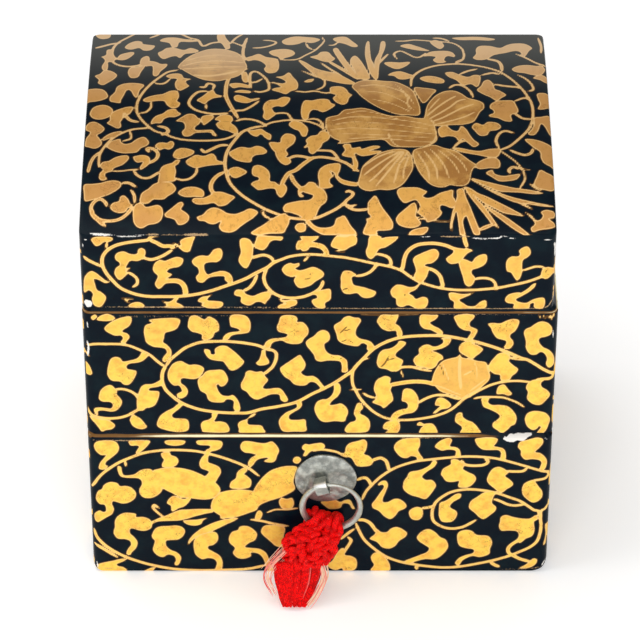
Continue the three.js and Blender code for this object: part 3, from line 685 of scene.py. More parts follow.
MIDDLE_LEAVES = [
    (91, 317, 95, 314.5, 97, 317, 93, 320),
    (97, 320, 100, 316, 107, 314, 113, 316, 115, 319, 108, 321),
    (105, 327, 111, 322, 120, 318, 130, 316.5, 131.5, 321, 129, 326, 123, 330, 122.5, 332,
     127, 333.5, 129.5, 337, 127, 341, 125, 343, 120.5, 342.5, 123, 338.5, 121, 335.5,
     115, 335.5, 109, 333, 105, 330),
    (144, 330, 146, 325, 152, 323, 149, 320, 160, 318.5, 175, 318, 180, 320, 179, 325, 176, 329,
     170, 331.5, 165, 333, 164, 338, 163, 342, 167, 345, 171, 350, 171, 356, 167, 361, 164, 362,
     162.5, 359, 165, 355, 167, 352, 165, 348.5, 160, 347.5, 153, 346.5, 147, 343, 145, 338),
    (188, 325, 189, 319, 191, 316, 196, 315.5, 202, 318.5, 205, 319.5, 208, 316.5, 211, 317,
     216, 320, 219, 325, 218.5, 331, 215, 332.5, 213, 337, 209, 339.5, 205, 340.5, 202, 338.5,
     202, 335, 198, 333, 192, 331.5, 188.5, 328),
    (230, 323, 229.5, 318, 232, 315, 239, 314.5, 246, 316, 250, 321, 250.5, 327, 249, 332,
     243, 333.5, 235, 334.5, 231, 336, 228, 339.5, 223, 339, 225, 335, 230, 332.5, 238, 331.5,
     240, 330, 236, 328, 231, 326.5),
    (107.5, 370, 110, 360, 115, 357, 120, 358, 123, 361.5, 130, 360.5, 137, 358.5, 140.5, 354.5,
     142, 352, 148, 355, 144, 360, 138, 362.5, 130, 363.5, 126.5, 366, 127.5, 369, 133, 370,
     136.5, 371.5, 135, 377, 131, 383, 127, 385, 123, 384, 120, 381.5, 112, 380.5, 108, 376),
    (99, 396, 101, 390, 106, 386, 111, 385, 115, 388.5, 117, 391, 116.5, 394, 120, 398, 122, 402,
     120, 407, 116, 410.5, 111, 411.5, 104, 410.5, 98, 411, 98, 414.5, 96, 414.5, 94, 409,
     98, 407.5, 106, 408, 111, 408.5, 113, 405, 110, 402, 103, 401.5, 99.5, 399.5),
    (137, 406, 137, 398, 139, 392, 141, 387, 145, 384.5, 152, 384, 157, 382, 161, 380, 162, 385,
     156, 387, 150, 388, 149, 390.5, 155, 391, 159, 392, 158.5, 398, 155, 405, 150, 407.5,
     146, 408, 143, 410.5, 138, 410),
    (91, 419, 90, 416, 100, 419, 108, 420, 115, 425, 112, 429, 106, 430, 102, 431.5, 99, 428,
     95, 423),
    (130, 419, 133, 414.5, 136, 416, 141, 419, 145, 424, 147, 427, 143, 429, 138, 428.5,
     133, 426, 130.5, 422),
    (184, 403, 180, 408, 175, 412, 172, 415, 174, 418, 181, 418.5, 187, 419.5, 189, 424,
     188, 430, 181, 432, 173, 431.5, 166, 430, 160, 428, 157, 425, 158, 420, 161, 415, 167, 411,
     173, 408, 178, 404),
    (212, 413, 217.5, 413.5, 216, 418, 214.5, 421.5, 221, 421.5, 227, 424, 228, 432, 205, 432,
     202, 430, 201, 424, 204, 421, 209, 419.5, 212, 417),
    (256, 413, 254, 416, 248, 419, 248, 424, 253, 425, 261, 425.5, 263.5, 429, 264, 433,
     241, 433, 239, 429, 238, 424, 241, 421, 247, 419, 251, 415),
    (168, 378, 168, 372, 171, 366, 175, 362.5, 181, 361, 186, 363.5, 190, 365, 195, 364.5,
     201, 366, 204, 369, 202, 374, 198, 378, 192, 379, 184, 378, 181, 379, 181, 383, 185, 386,
     188, 391, 186, 396, 181, 398.5, 178, 397, 177, 394, 181, 392, 182, 390, 179, 385.5,
     174, 385.5, 170, 382),
    (204, 350, 206, 349, 210, 350.5, 211, 354, 215, 354, 215, 349, 220, 346, 226, 346, 231, 349,
     236, 353, 241, 358, 244, 362, 240, 367, 235, 370, 230, 370, 226, 365, 223, 361.5, 216, 360.5,
     210, 359, 206, 355),
    (198, 380, 202, 376, 207, 371, 215, 370, 222, 370, 226, 374, 228, 380, 225, 385, 221, 386.5,
     218, 384, 216.5, 386, 219, 392, 223, 395.5, 229, 396, 233, 395, 237, 399, 239.5, 404,
     240, 410, 236, 411, 233.5, 408, 234, 402, 231, 399.5, 226, 399.5, 224, 402, 218, 402.5,
     211, 401.5, 208, 399, 206, 394, 201, 391, 198.5, 386),
    (277, 327, 279, 322, 281, 316.5, 288, 315, 295, 316, 297.5, 319, 297, 322, 303, 322.5,
     308, 328, 308, 334, 304, 338.5, 301, 343, 293, 344, 286, 342.5, 282, 340.5, 275, 341.5,
     271.5, 344, 269.5, 348.5, 264.5, 346.5, 266, 342, 271, 339, 280, 338, 286, 337, 287.5, 334.5,
     284, 333, 278.5, 331.5),
    (262, 350, 265, 351, 266, 356, 269, 361, 268, 364, 260, 365.5, 256, 363, 259, 360, 261, 355),
    (246, 372, 250, 370.5, 256, 372, 262, 371.5, 265, 376, 268, 380, 265, 384, 263, 388, 268, 389,
     276, 388, 281, 389, 285, 394, 288, 400, 285, 402, 281, 400, 279.5, 395, 276, 394, 270, 394.5,
     264, 397, 257, 399.5, 251, 397, 247, 392, 242, 389, 241, 384, 243, 380, 245, 376),
    (280, 369, 284, 365, 290, 361, 296, 357, 300, 355, 303, 359, 305.5, 364, 304, 369, 301, 372.5,
     306, 376, 313, 376, 318, 379, 322, 384, 325.5, 388.5, 322, 390, 319, 386, 315, 382.5,
     310, 382, 306, 385, 300, 385.5, 294, 384, 290, 380, 284, 376),
    (306, 342, 309, 339, 314, 336, 318, 332, 323, 330, 328, 332, 330, 337, 328.5, 341, 324.5, 344,
     325, 349, 328, 353, 333, 355, 339, 355.5, 344, 358, 347, 361, 347.5, 367, 347.5, 371.5,
     342, 372, 342, 366, 340, 361.5, 334, 360.5, 327, 360.5, 321, 361.5, 316, 360, 314, 355,
     311, 351, 307, 346),
    (334, 327, 336, 324, 341, 321, 344, 317.5, 349, 316, 354, 317.5, 359, 318, 361, 321, 358, 326,
     356, 330, 356, 335, 360, 338.5, 366, 340, 371, 342, 374, 346, 374, 349, 370, 351.5, 367, 349,
     367, 345, 362, 343, 358, 346, 351, 345.5, 343, 343.5, 338, 340, 336.5, 334),
    (377, 321, 380, 316, 384, 314.5, 392, 315, 398, 315, 397.5, 319, 395.5, 323.5, 399, 326,
     401.5, 330, 402.5, 335, 400, 337, 397, 335.5, 396, 331, 388, 331, 382, 328.5, 379, 325),
    (337, 383, 340, 385, 340.5, 391, 338, 396, 332, 401, 330, 405, 336, 404.5, 341, 403.5,
     346, 407, 348, 412, 346, 418, 344, 421.5, 335, 421, 326, 422, 320, 420, 316, 414, 314.5, 408,
     317, 402, 322, 399.5, 327, 399, 332, 395, 334, 390, 334, 385),
    (356, 406, 358, 403, 361, 403.5, 363, 408, 360.5, 411, 360.5, 414, 365, 416, 369, 420,
     370, 426, 368, 431, 362, 432.5, 350, 433, 345, 431, 346, 427, 350, 422.5, 355, 421, 356, 418,
     354, 413),
    (279, 421, 282, 416, 287, 412, 292, 410, 297, 407, 296, 402, 300.5, 401.5, 302, 405, 299, 409,
     293, 412.5, 289, 415.5, 290, 419.5, 298, 420, 305, 419.5, 306, 425, 306, 431, 295, 431.5,
     284, 431.5, 280, 427),
    (377, 361, 379, 354, 383, 350, 390, 348.5, 395, 346, 398, 343, 399, 341, 404, 341.5,
     406, 343.5, 402, 348, 397, 352, 395.5, 356, 400, 358.5, 403, 361, 401, 366, 398, 370,
     392, 371.5, 386, 369, 380, 368, 377.5, 365),
    (372, 402, 376, 399, 376, 395, 374, 390, 374.5, 385, 377, 380, 382, 377, 386, 376, 390.5, 378,
     390, 383, 392, 386, 390.5, 390, 392, 394, 393, 400, 389, 404, 384, 408, 381, 406, 376, 404),
    (402, 398, 403, 391, 406, 388.5, 412, 389.5, 416.5, 394, 418.5, 400, 417.5, 408, 413, 412.5,
     405, 414, 399, 416.5, 396, 420, 391, 420.5, 392, 415, 397, 411, 403, 409, 407, 408.5,
     408, 405, 405.5, 402, 402, 401),
    (383, 427, 385, 423, 390, 421, 396, 420, 399, 422, 400, 428, 397, 433, 391, 434, 385, 433.5,
     388, 430, 384, 429),
    (420, 324, 420, 316, 424, 314.5, 432, 315, 438, 315, 436, 319, 430, 322.5, 433, 325.5,
     440, 329, 443, 333, 440, 334.5, 431, 330, 424, 328.5),
    (454, 317, 458, 315, 466, 314, 474, 315, 474, 318, 470, 322, 470, 326, 474, 328, 477.5, 330,
     475.5, 335, 472, 339.5, 468, 338, 471, 333, 470, 331, 464, 330, 459, 327, 456, 322),
    (488, 324, 493, 323, 500, 323.5, 507, 320.5, 513, 319, 519, 320.5, 518, 326, 515, 331,
     511, 334, 510, 337, 513, 341, 513, 345, 509, 349, 504, 347.5, 506, 344, 506, 341, 502, 339.5,
     497, 338, 493, 333, 491, 328),
    (524, 333, 526, 329, 531, 327, 535, 324, 541, 321.5, 548, 323, 552, 328, 551, 334, 546, 336.5,
     540, 338, 539, 342, 543, 347, 549, 350, 553, 355, 554.5, 362, 553, 366, 549, 367.5, 546, 364,
     547, 358, 544, 353, 540, 352, 536, 354.5, 530, 354, 526, 348, 526, 341),
    (413.5, 361, 415, 357, 419, 354, 419, 349, 423, 345.5, 428, 344.5, 433, 346.5, 438, 346,
     443, 343, 443, 340, 441, 338.5, 446, 338, 451, 339, 449, 344, 444, 347.5, 438, 349.5,
     432, 351, 437, 352.5, 442, 355.5, 443, 359, 439, 361, 436, 366, 431, 369, 424, 367.5, 417, 366),
    (459, 350, 460, 345, 465, 341.5, 471, 341, 473, 343.5, 478, 345.5, 483, 349, 480, 353,
     476, 356, 472, 359, 466, 356, 461, 353),
    (488, 368, 490, 363, 494, 358, 498, 354, 504, 352.5, 510, 356, 509, 361, 513, 365, 518, 369,
     516, 373, 512, 376, 509, 380, 501, 380, 500, 375, 495, 374, 491, 371.5),
    (497, 390, 499, 386, 504, 384.5, 508, 389, 512, 394, 508, 395.5, 503, 394, 497, 394),
    (482, 398, 489, 398, 488, 402, 492, 405, 500, 405, 508, 406.5, 514, 412, 516.5, 418, 515, 424,
     511, 426, 507, 430, 502, 433, 497, 430, 493, 427, 493, 423, 497, 420, 500, 416.5, 497, 413,
     490, 409.5, 484, 407, 482, 403),
    (526, 388, 528, 383, 533, 380, 540, 379.5, 545, 379, 541, 383, 542, 387, 547, 390, 550, 395,
     546, 400, 541, 404.5, 535, 404.5, 530, 402, 527, 398, 528, 392),
    (525, 418, 528, 413, 534, 411, 541, 411.5, 547, 414, 550, 420, 548, 426, 546, 430, 543, 433,
     537, 434, 538, 431, 541, 427, 539, 426, 537, 428.5, 533, 430, 529, 428, 526, 424),
    (455, 420, 456, 415, 459, 412.5, 462, 413, 463, 417, 467, 420, 473, 422.5, 478, 428,
     480, 433.5, 461, 433.5, 462, 429, 461, 426, 456, 422.5),
    (417, 424, 420, 422, 424, 424, 427, 423.5, 433, 424, 437, 430, 436, 433.5, 420, 433.5,
     421, 428, 423, 426, 418, 425.5),
    (435, 404, 437, 399, 441, 397.5, 446, 399.5, 450, 403, 451, 406, 447, 408.5, 441, 409.5,
     436, 413, 433, 413, 437, 409, 440, 406, 436, 405.5),
    (84, 363, 88, 364, 91, 369, 92, 374, 88, 375, 84, 373),
]
MIDDLE_BUDS = [
    (432, 380, 434, 373, 438, 366, 443, 361, 450, 358.5, 457, 357, 460, 354.5, 462, 357.5,
     470, 359, 478, 361, 486, 362.5, 488, 369, 490, 375, 489, 380, 485, 384, 479, 389, 472, 393,
     466, 396, 462, 398.5, 456, 396, 447, 393.5, 440, 391, 436, 387, 433, 384),
]
MIDDLE_VEINS = [
    (1.6, 460, 357, 459.5, 370, 460, 380, 461, 389),
    (1.0, 434, 385, 444, 388, 453, 392, 461, 395),
    (0.9, 442, 363, 446, 372, 449, 381),
    (1.0, 464, 375, 468, 373, 472, 371),
    (0.9, 470, 391, 478, 385, 486, 379),
    (0.8, 474, 361, 477, 370, 477, 380),
]

# %% [markdown]
# The lid's front has two more ovals of vine. Its roof is the richest part: a bellflower with
# streaked petals and long blades at the right, a striped bud at the left, and a wide spiral
# between them. On the roof a pixel is a place on the arch.
# %% The lid's scroll
LID_VINES = [
    (1.9, 84, 257, 88, 260, 94, 263, 103, 267),
    (2.0, 150, 240, 140, 241, 128, 242.5, 117, 245, 109, 249, 104, 254, 102, 260, 103, 267,
     107, 274, 113, 281, 120, 287.5, 129, 292, 139, 295, 150, 296.5, 162, 296.5, 175, 296.5,
     188, 295.5, 200, 293.5, 212, 290.5, 224, 286.5, 236, 282.5, 247, 278, 255, 273.5, 262, 270,
     268, 267, 273, 263, 280, 260),
    (1.7, 275, 262, 280, 260, 290, 256.5, 302, 254.7, 315, 254.5, 330, 256, 345, 257.5, 358, 260,
     372, 263, 385, 265.5, 395, 268, 402, 271, 408, 275, 414, 279, 421, 282.5, 432, 286,
     443, 288.5, 458, 290, 472, 290, 487, 289, 500, 287.5, 515, 284.5, 528, 281.5, 538, 278,
     546, 275, 552, 272.5),
    (2.4, 150, 240, 156, 242.5, 163, 246, 170, 246, 174, 248),
    (2.0, 148, 239, 153, 236, 160, 235),
    (1.9, 172, 250, 166, 254, 160, 257, 152, 259.5, 146, 258.5, 140, 256),
    (1.7, 127, 272, 133, 275, 137, 279, 137, 284, 133, 287),
    (1.6, 107, 243, 106, 248),
    (1.0, 122, 298.5, 133, 299),
    (1.1, 124, 299, 129, 303),
    (1.9, 257, 275, 254, 282, 249, 288, 243, 291),
    (1.9, 252, 258, 258, 256, 264, 255, 270, 257, 274, 261),
    (1.9, 267, 268, 264, 276, 265, 283, 269, 289, 275, 294, 283, 297, 292, 298, 302, 297,
     311, 294, 318, 290, 322, 285, 323, 281),
    (1.5, 304, 261, 308, 257),
    (1.8, 356, 276, 363, 275, 370, 272, 375, 267, 377, 263),
    (1.8, 376, 254, 383, 255, 389, 258, 391, 263, 390, 267),
    (2.2, 402, 270, 403, 266, 404, 260, 406, 254, 410, 249, 417, 245, 426, 243.5, 436, 243.5,
     446, 245.5, 455, 249, 466, 250.5),
    (2.1, 428, 268, 435, 271, 440, 276, 442, 282, 443, 287),
    (1.7, 475, 279, 482, 278, 490, 279, 495, 283, 496, 290),
    (1.4, 523, 270.5, 529, 268.5, 536, 266.5, 542, 267, 546, 269),
    (2.2, 535, 284, 530, 289, 524, 293, 516, 297, 510, 299),
    (2.3, 464, 236, 465, 241, 467, 247),
    (0.9, 336, 251, 344, 252),
]
LID_LEAVES = [
    (115, 256, 118, 252.5, 124, 251.5, 130, 254, 137, 254, 138, 250, 141, 248, 145, 250, 145, 255,
     142, 259, 137, 261, 131, 260.5, 128, 263, 126, 268, 130, 267.5, 129, 269.5, 126, 270.5,
     127, 274, 123, 278, 120, 280, 117, 278, 114.5, 273, 116, 268, 120, 265, 119, 262, 116, 260),
    (91, 239, 95, 237, 103, 236.5, 110, 237, 113, 239, 110, 241.5, 104, 242, 100, 245, 96, 246,
     93, 243),
    (153, 268, 155, 263, 160, 260, 165, 261, 170, 259, 177, 257, 183, 259, 182, 264, 178, 267,
     174, 267.5, 169, 269, 167, 272, 172, 274.5, 169, 277, 166, 279, 172, 278.5, 179, 279,
     185, 283, 187.5, 288, 188, 294, 183.5, 294, 182, 288, 178, 283.5, 170, 283, 165, 284,
     161, 288, 158, 288.5, 155, 284, 157, 279, 158, 276, 154, 272),
    (192, 261, 196, 257, 202, 255.5, 208, 256, 211, 253, 214, 249.5, 220, 248.5, 222.5, 253,
     221, 259, 217, 262, 212, 262, 206, 263, 204, 266, 205, 271, 208, 274.5, 214, 272.5, 222, 271,
     229, 273, 232.5, 278, 232, 283.5, 229, 283, 225, 280, 224.5, 276.5, 219, 276, 211, 277,
     207, 279, 203, 282.5, 198, 281.5, 196, 277, 199, 273, 198, 268, 194, 265),
    (180, 241, 185, 238, 190, 237, 195, 236, 193, 242, 191, 248, 189, 252, 183, 251, 178, 247,
     173, 244, 175, 243, 181, 246),
    (84, 281, 86, 275, 91, 271, 96, 273, 100, 276, 105, 280, 109, 282, 105, 283, 99, 280, 94, 279,
     95, 284, 97, 290, 101, 292, 106, 297, 104, 303, 100, 307, 94, 305, 92, 299, 93, 294,
     89, 290, 84, 293),
    (129, 307, 131, 303.5, 138, 302, 143, 304, 144, 307.5),
    (162, 301, 168, 302, 172, 300.5, 176, 297, 179, 298, 176, 302, 180, 304, 184, 307.5, 172, 308,
     163, 307, 167, 305),
    (198, 300, 202, 297, 208, 296, 212, 294.5, 208, 298, 208, 300.5, 215, 301, 222, 302, 223, 305,
     219, 308, 208, 308, 201, 305, 204, 303, 199, 302),
    (234, 294, 236, 290, 242, 290, 246, 294, 253, 296, 258, 294, 264, 292, 270, 292, 270.5, 297,
     267, 301, 265, 304, 261, 302, 256, 302, 251, 305, 246, 305, 241, 302, 241, 297, 237, 296),
    (240, 240, 244, 238, 250, 240, 253, 246, 253, 252, 252, 258, 250, 263, 247, 268, 243, 267,
     239, 262, 239, 258, 241, 252, 240, 246),
    (254, 246, 256, 240, 258, 236, 270, 236, 277, 236.5, 283, 237, 281, 240.5, 275, 240, 270, 242,
     267, 247, 263, 250, 258, 249),
    (282, 269, 285, 265, 290, 263, 294, 264, 299, 263, 299, 266, 295, 268.5, 300, 270.5, 306, 269,
     313, 267, 320, 269.5, 324, 273.5, 322, 277.5, 316, 281, 311, 285, 306, 287, 300, 288,
     296, 285, 294, 280, 296, 276, 292, 277, 286, 275, 283, 272),
    (330, 289, 331, 295, 330, 300, 325, 303, 325, 308, 318, 308, 313, 304, 312, 300, 317, 298,
     316, 295, 310, 294, 314, 291.5, 322, 290),
    (279, 298, 285, 300.5, 292, 300, 297, 301, 296, 305, 291, 306.5, 289, 308, 278, 308,
     280, 304.5, 286, 303.5, 281, 301.5),
    (296, 246, 298, 241, 302, 240, 301, 236, 318, 236, 316, 240, 312, 242, 318, 243, 324, 245,
     328, 250, 329, 256, 325, 256, 323, 251, 318, 248, 310, 247, 308, 250, 303, 251, 300, 249,
     297, 250),
    (331, 246, 333, 240, 337, 236, 345, 236.5, 353, 235, 357, 238, 356, 244, 350, 247, 344, 250.5,
     338, 249),
    (341, 276, 344, 271, 350, 271, 354, 273, 357, 275.5, 352, 277, 352, 281, 354, 285, 360, 286.5,
     366, 288, 372, 290, 376, 292, 374, 296, 368, 298, 362, 297, 357, 293, 350, 294, 344, 293,
     341, 288, 341, 282),
    (370, 236, 380, 236, 382, 239, 385, 237.5, 398, 236.5, 396, 240, 391, 244, 385, 247.5,
     380, 248.5, 377, 252, 375, 256, 371, 259, 367, 256, 366, 251, 368, 245),
    (391, 294, 391, 290, 396, 285, 402, 285, 409, 287, 415, 286.5, 420, 283, 418, 287, 415, 290,
     409, 293, 413, 296, 416, 299, 422, 297, 427, 298, 428, 303, 425, 308, 419, 310, 413, 307,
     408, 305, 402, 307, 397, 305, 396, 299, 393, 297),
    (446, 259, 450, 255.5, 453, 253, 454, 250, 461, 249, 469, 249, 473, 250.5, 468, 253, 464, 257,
     461, 261, 456, 263.5, 450, 263.5),
    (413, 260, 415, 256.5, 420, 254, 427, 251, 433, 249, 437, 250, 439, 254, 437, 259, 432, 263,
     426, 264, 425, 266, 429, 267.5, 428, 273, 426, 278, 422, 282, 417, 281, 414, 276, 416, 271,
     415, 266),
    (459, 263, 462, 259, 467, 260, 472, 262, 475, 258, 480, 255, 486, 254.5, 487, 260, 484, 265,
     478, 268, 472, 270, 472, 274, 475, 278, 473, 284, 469, 286.5, 465, 284, 463, 277, 461, 271),
    (506, 264, 508, 259, 512, 256.5, 518, 256.5, 520, 254, 519, 251, 522, 248, 527, 246.5,
     530, 249, 530.5, 254, 527, 257.5, 523, 260, 522, 266, 522, 272, 520, 278, 517, 280.5,
     514, 277, 511, 272.5, 507, 271),
    (541, 274, 543, 269, 548, 267, 553, 269, 555.5, 272, 551, 276, 546, 279, 542, 277),
    (449, 293, 455, 293, 462, 294, 470, 293.5, 474, 292, 470, 295, 463, 298, 459, 300, 463, 303,
     468, 306, 475, 306, 480, 302, 486, 300.5, 485, 308, 470, 309, 455, 309, 454, 302, 450, 299),
    (505, 300, 508, 295, 514, 293, 520, 293, 516, 299, 518, 301.5, 526, 303, 532, 300, 538, 298,
     544, 298, 545, 303, 543, 308, 538, 309, 534, 307, 534, 303, 530, 304, 528, 309, 514, 309,
     514, 304, 508, 303),
]
ROOF_VINES = [
    (1.4, 150, 128, 140, 128.5, 130, 130, 120, 134, 112, 139, 105, 146, 100, 154, 99, 161, 99, 167),
    (1.8, 100, 152, 94, 157, 91, 162, 89, 168, 88, 172),
    (1.3, 130, 131, 131, 136, 130, 139, 123, 141),
    (1.1, 112, 171, 120, 171, 130, 170, 141, 169),
    (2.0, 149, 152, 147, 149, 150, 148, 155, 150, 158, 154, 156, 159, 150, 163),
    (1.7, 134, 171, 137, 175, 143, 178, 150, 177.5, 157, 173.5, 163, 171),
    (1.5, 175, 178, 182, 180, 190, 178.5, 196, 173, 197, 168),
    (2.0, 201, 149, 205, 152, 212, 149, 220, 145.5, 228, 145),
    (1.8, 262, 126, 252, 128, 244, 131, 240, 134, 234, 141, 229, 148, 226, 155, 225, 163,
     226, 172, 229, 181, 234, 188, 243, 196, 254, 203, 266, 209.5, 280, 215, 292, 218, 304, 219,
     316, 218, 326, 214, 336, 209, 343, 204, 347, 200, 352, 196, 353, 193, 349, 191, 346, 192),
    (2.3, 224, 172, 217, 176, 212, 182, 211, 189, 215, 195),
    (2.0, 132, 207, 128, 213, 120, 219, 110, 221, 100, 219.5, 93, 214, 91, 208, 94, 202, 100, 199,
     105, 202, 107, 206),
    (2.5, 91, 208, 93, 215, 98, 220, 105, 226),
    (1.7, 131, 190, 134, 195, 135, 203),
    (2.0, 122, 183, 129, 183, 136, 187),
    (1.5, 178, 70, 168, 72, 160, 77, 152, 83, 145, 90, 140, 97, 137, 104, 137, 112, 141, 119,
     148, 126, 155, 131, 165, 134, 172, 137, 182, 139.5, 195, 140.5, 210, 140.5, 222, 139.5,
     231, 137, 238, 133),
    (2.0, 158, 126, 166, 128, 168, 132, 162, 135),
    (1.4, 262, 127, 270, 123, 280, 121, 290, 120, 300, 120.5, 310, 122, 320, 126, 325, 131),
    (2.0, 289, 158, 296, 156, 303, 156.5, 311, 158, 320, 157, 330, 158, 338, 160, 346, 163,
     352, 167, 358, 171),
    (1.7, 318, 150.5, 325, 150.5, 332, 151.5, 337, 157, 339, 161),
    (2.5, 281, 186, 285, 178, 289, 173, 296, 170, 302, 165, 309, 160, 314, 157),
    (2.5, 291, 175, 293, 180, 297, 185, 303, 190, 312, 193, 316, 194),
    (1.5, 344, 203, 350, 206, 356, 205),
    (1.8, 344, 204, 352, 209, 360, 210, 369, 209),
    (1.5, 262, 211, 265, 216, 271, 219),
    (1.0, 415, 217, 424, 219, 436, 221, 450, 221.5),
    (1.5, 378, 64, 382, 60, 388, 54),
    (1.3, 302, 71, 315, 76, 325, 79, 340, 82),
    (1.6, 321, 63, 330, 69, 342, 76),
    (2.3, 328, 61, 340, 68, 350, 74, 358, 79),
    (1.4, 490, 190, 505, 196, 520, 203, 532, 209),
    (1.5, 530, 184, 536, 188, 541, 190),
    (1.8, 519, 169, 513, 167, 509, 170, 510, 173),
    (0.8, 518, 168, 530, 170),
    (1.2, 499, 150, 508, 156, 517, 163, 523, 171, 525, 179, 520, 188),
    (1.5, 500, 150, 510, 146, 520, 138, 528, 130, 532, 122, 533, 114, 532, 105, 528, 97, 521, 88,
     511, 79, 500, 72, 488, 68, 475, 65.5, 460, 64, 445, 64.5, 432, 66.5, 420, 71, 412, 78,
     411, 86),
    (1.6, 499, 148, 496, 141, 499, 134, 505, 131, 514, 133),
    (1.8, 510, 150, 517, 153, 525, 155, 531, 153, 533, 149),
    (1.6, 454, 147, 460, 142, 468, 140),
    (1.7, 513, 112, 522, 118, 532, 119.5),
    (1.4, 515, 101, 524, 98, 530, 100),
    (1.5, 460, 74, 468, 71, 477, 69),
    (1.5, 449, 88, 455, 85, 463, 86, 470, 91, 473, 97),
    (2.0, 487, 59, 497, 61, 501, 65, 502, 71),
    (1.5, 538, 38, 541, 46, 541, 53),
    (1.5, 516, 54, 526, 58, 536, 63, 546, 66),
    (1.4, 518, 75, 526, 79, 532, 85, 533, 90, 528, 91),
    (1.6, 482, 75, 492, 73, 500, 74.5),
    (1.6, 493, 84, 505, 86, 516, 87, 521, 88),
    (1.3, 295, 91, 305, 92, 315, 91, 325, 93, 334, 92),
    (1.2, 303, 71, 314, 76, 321, 78, 325, 82, 323, 87, 316, 90),
    (1.4, 309, 119, 316, 119, 321, 122, 324, 128),
    (1.4, 274, 114, 280, 113, 287, 113.5, 291, 118, 294, 121),
    (1.2, 281, 60, 290, 60, 298, 59, 306, 55, 314, 51, 320, 46, 324, 41, 322, 37),
    (1.4, 306, 43, 308, 47, 313, 50),
    (1.5, 253, 48, 262, 47.5, 271, 45.5, 276, 43, 273, 41, 262, 40),
    (1.3, 328, 45, 334, 45, 338, 42),
    (1.8, 247, 38, 244, 46, 243, 54, 245, 60),
    (1.5, 251, 88, 250, 80, 251, 73, 256, 71.5, 262, 75, 267, 80, 269, 86, 268, 90, 260, 92,
     254, 91),
    (1.4, 251, 82, 256, 82, 262, 79),
    (1.5, 230, 111, 238, 110.5, 244, 110, 252, 106, 259, 101),
    (2.0, 244, 99, 252, 100, 259, 98.5),
    (1.6, 236, 121, 244, 119, 254, 120, 262, 123, 266, 126),
    (1.4, 397, 59, 394, 54, 400, 51, 408, 54, 414, 57, 420, 57, 426, 53),
    (1.4, 395, 41, 405, 41, 415, 40, 430, 41, 445, 42, 455, 44, 462, 49, 464, 55, 463, 59),
    (1.8, 433, 38, 441, 38.5, 449, 41),
    (2.2, 247, 69, 236, 71, 232, 74, 228, 80, 226, 88, 226, 96, 229, 103, 233, 110, 238, 118),
    (1.6, 165, 31.5, 150, 31.5, 138, 33, 127, 38, 118, 43, 113, 49, 112, 57, 113, 62, 120, 65.5,
     130, 66.5, 140, 65, 147, 62),
    (1.9, 96, 48, 104, 46, 112, 44, 120, 43),
    (1.7, 150, 38, 158, 35, 165, 31.5, 178, 33, 190, 38, 198, 40, 203, 46, 212, 43, 222, 42),
    (2.1, 124, 114, 130, 120, 138, 122),
    (1.3, 151, 102, 151, 107, 146, 112, 139, 113),
    (1.3, 170, 79, 165, 83, 159, 84, 154, 82.5),
    (1.6, 208, 91, 198, 92, 191, 98, 189, 104, 194, 109, 202, 112, 215, 114, 228, 113),
    (1.5, 206, 104, 206, 109),
    (1.6, 200, 87, 205, 87, 208, 83.5, 214, 85, 213, 89),
    (1.5, 230, 44, 236, 38, 243, 34),
    (1.5, 232, 42, 240, 45, 245, 47),
]
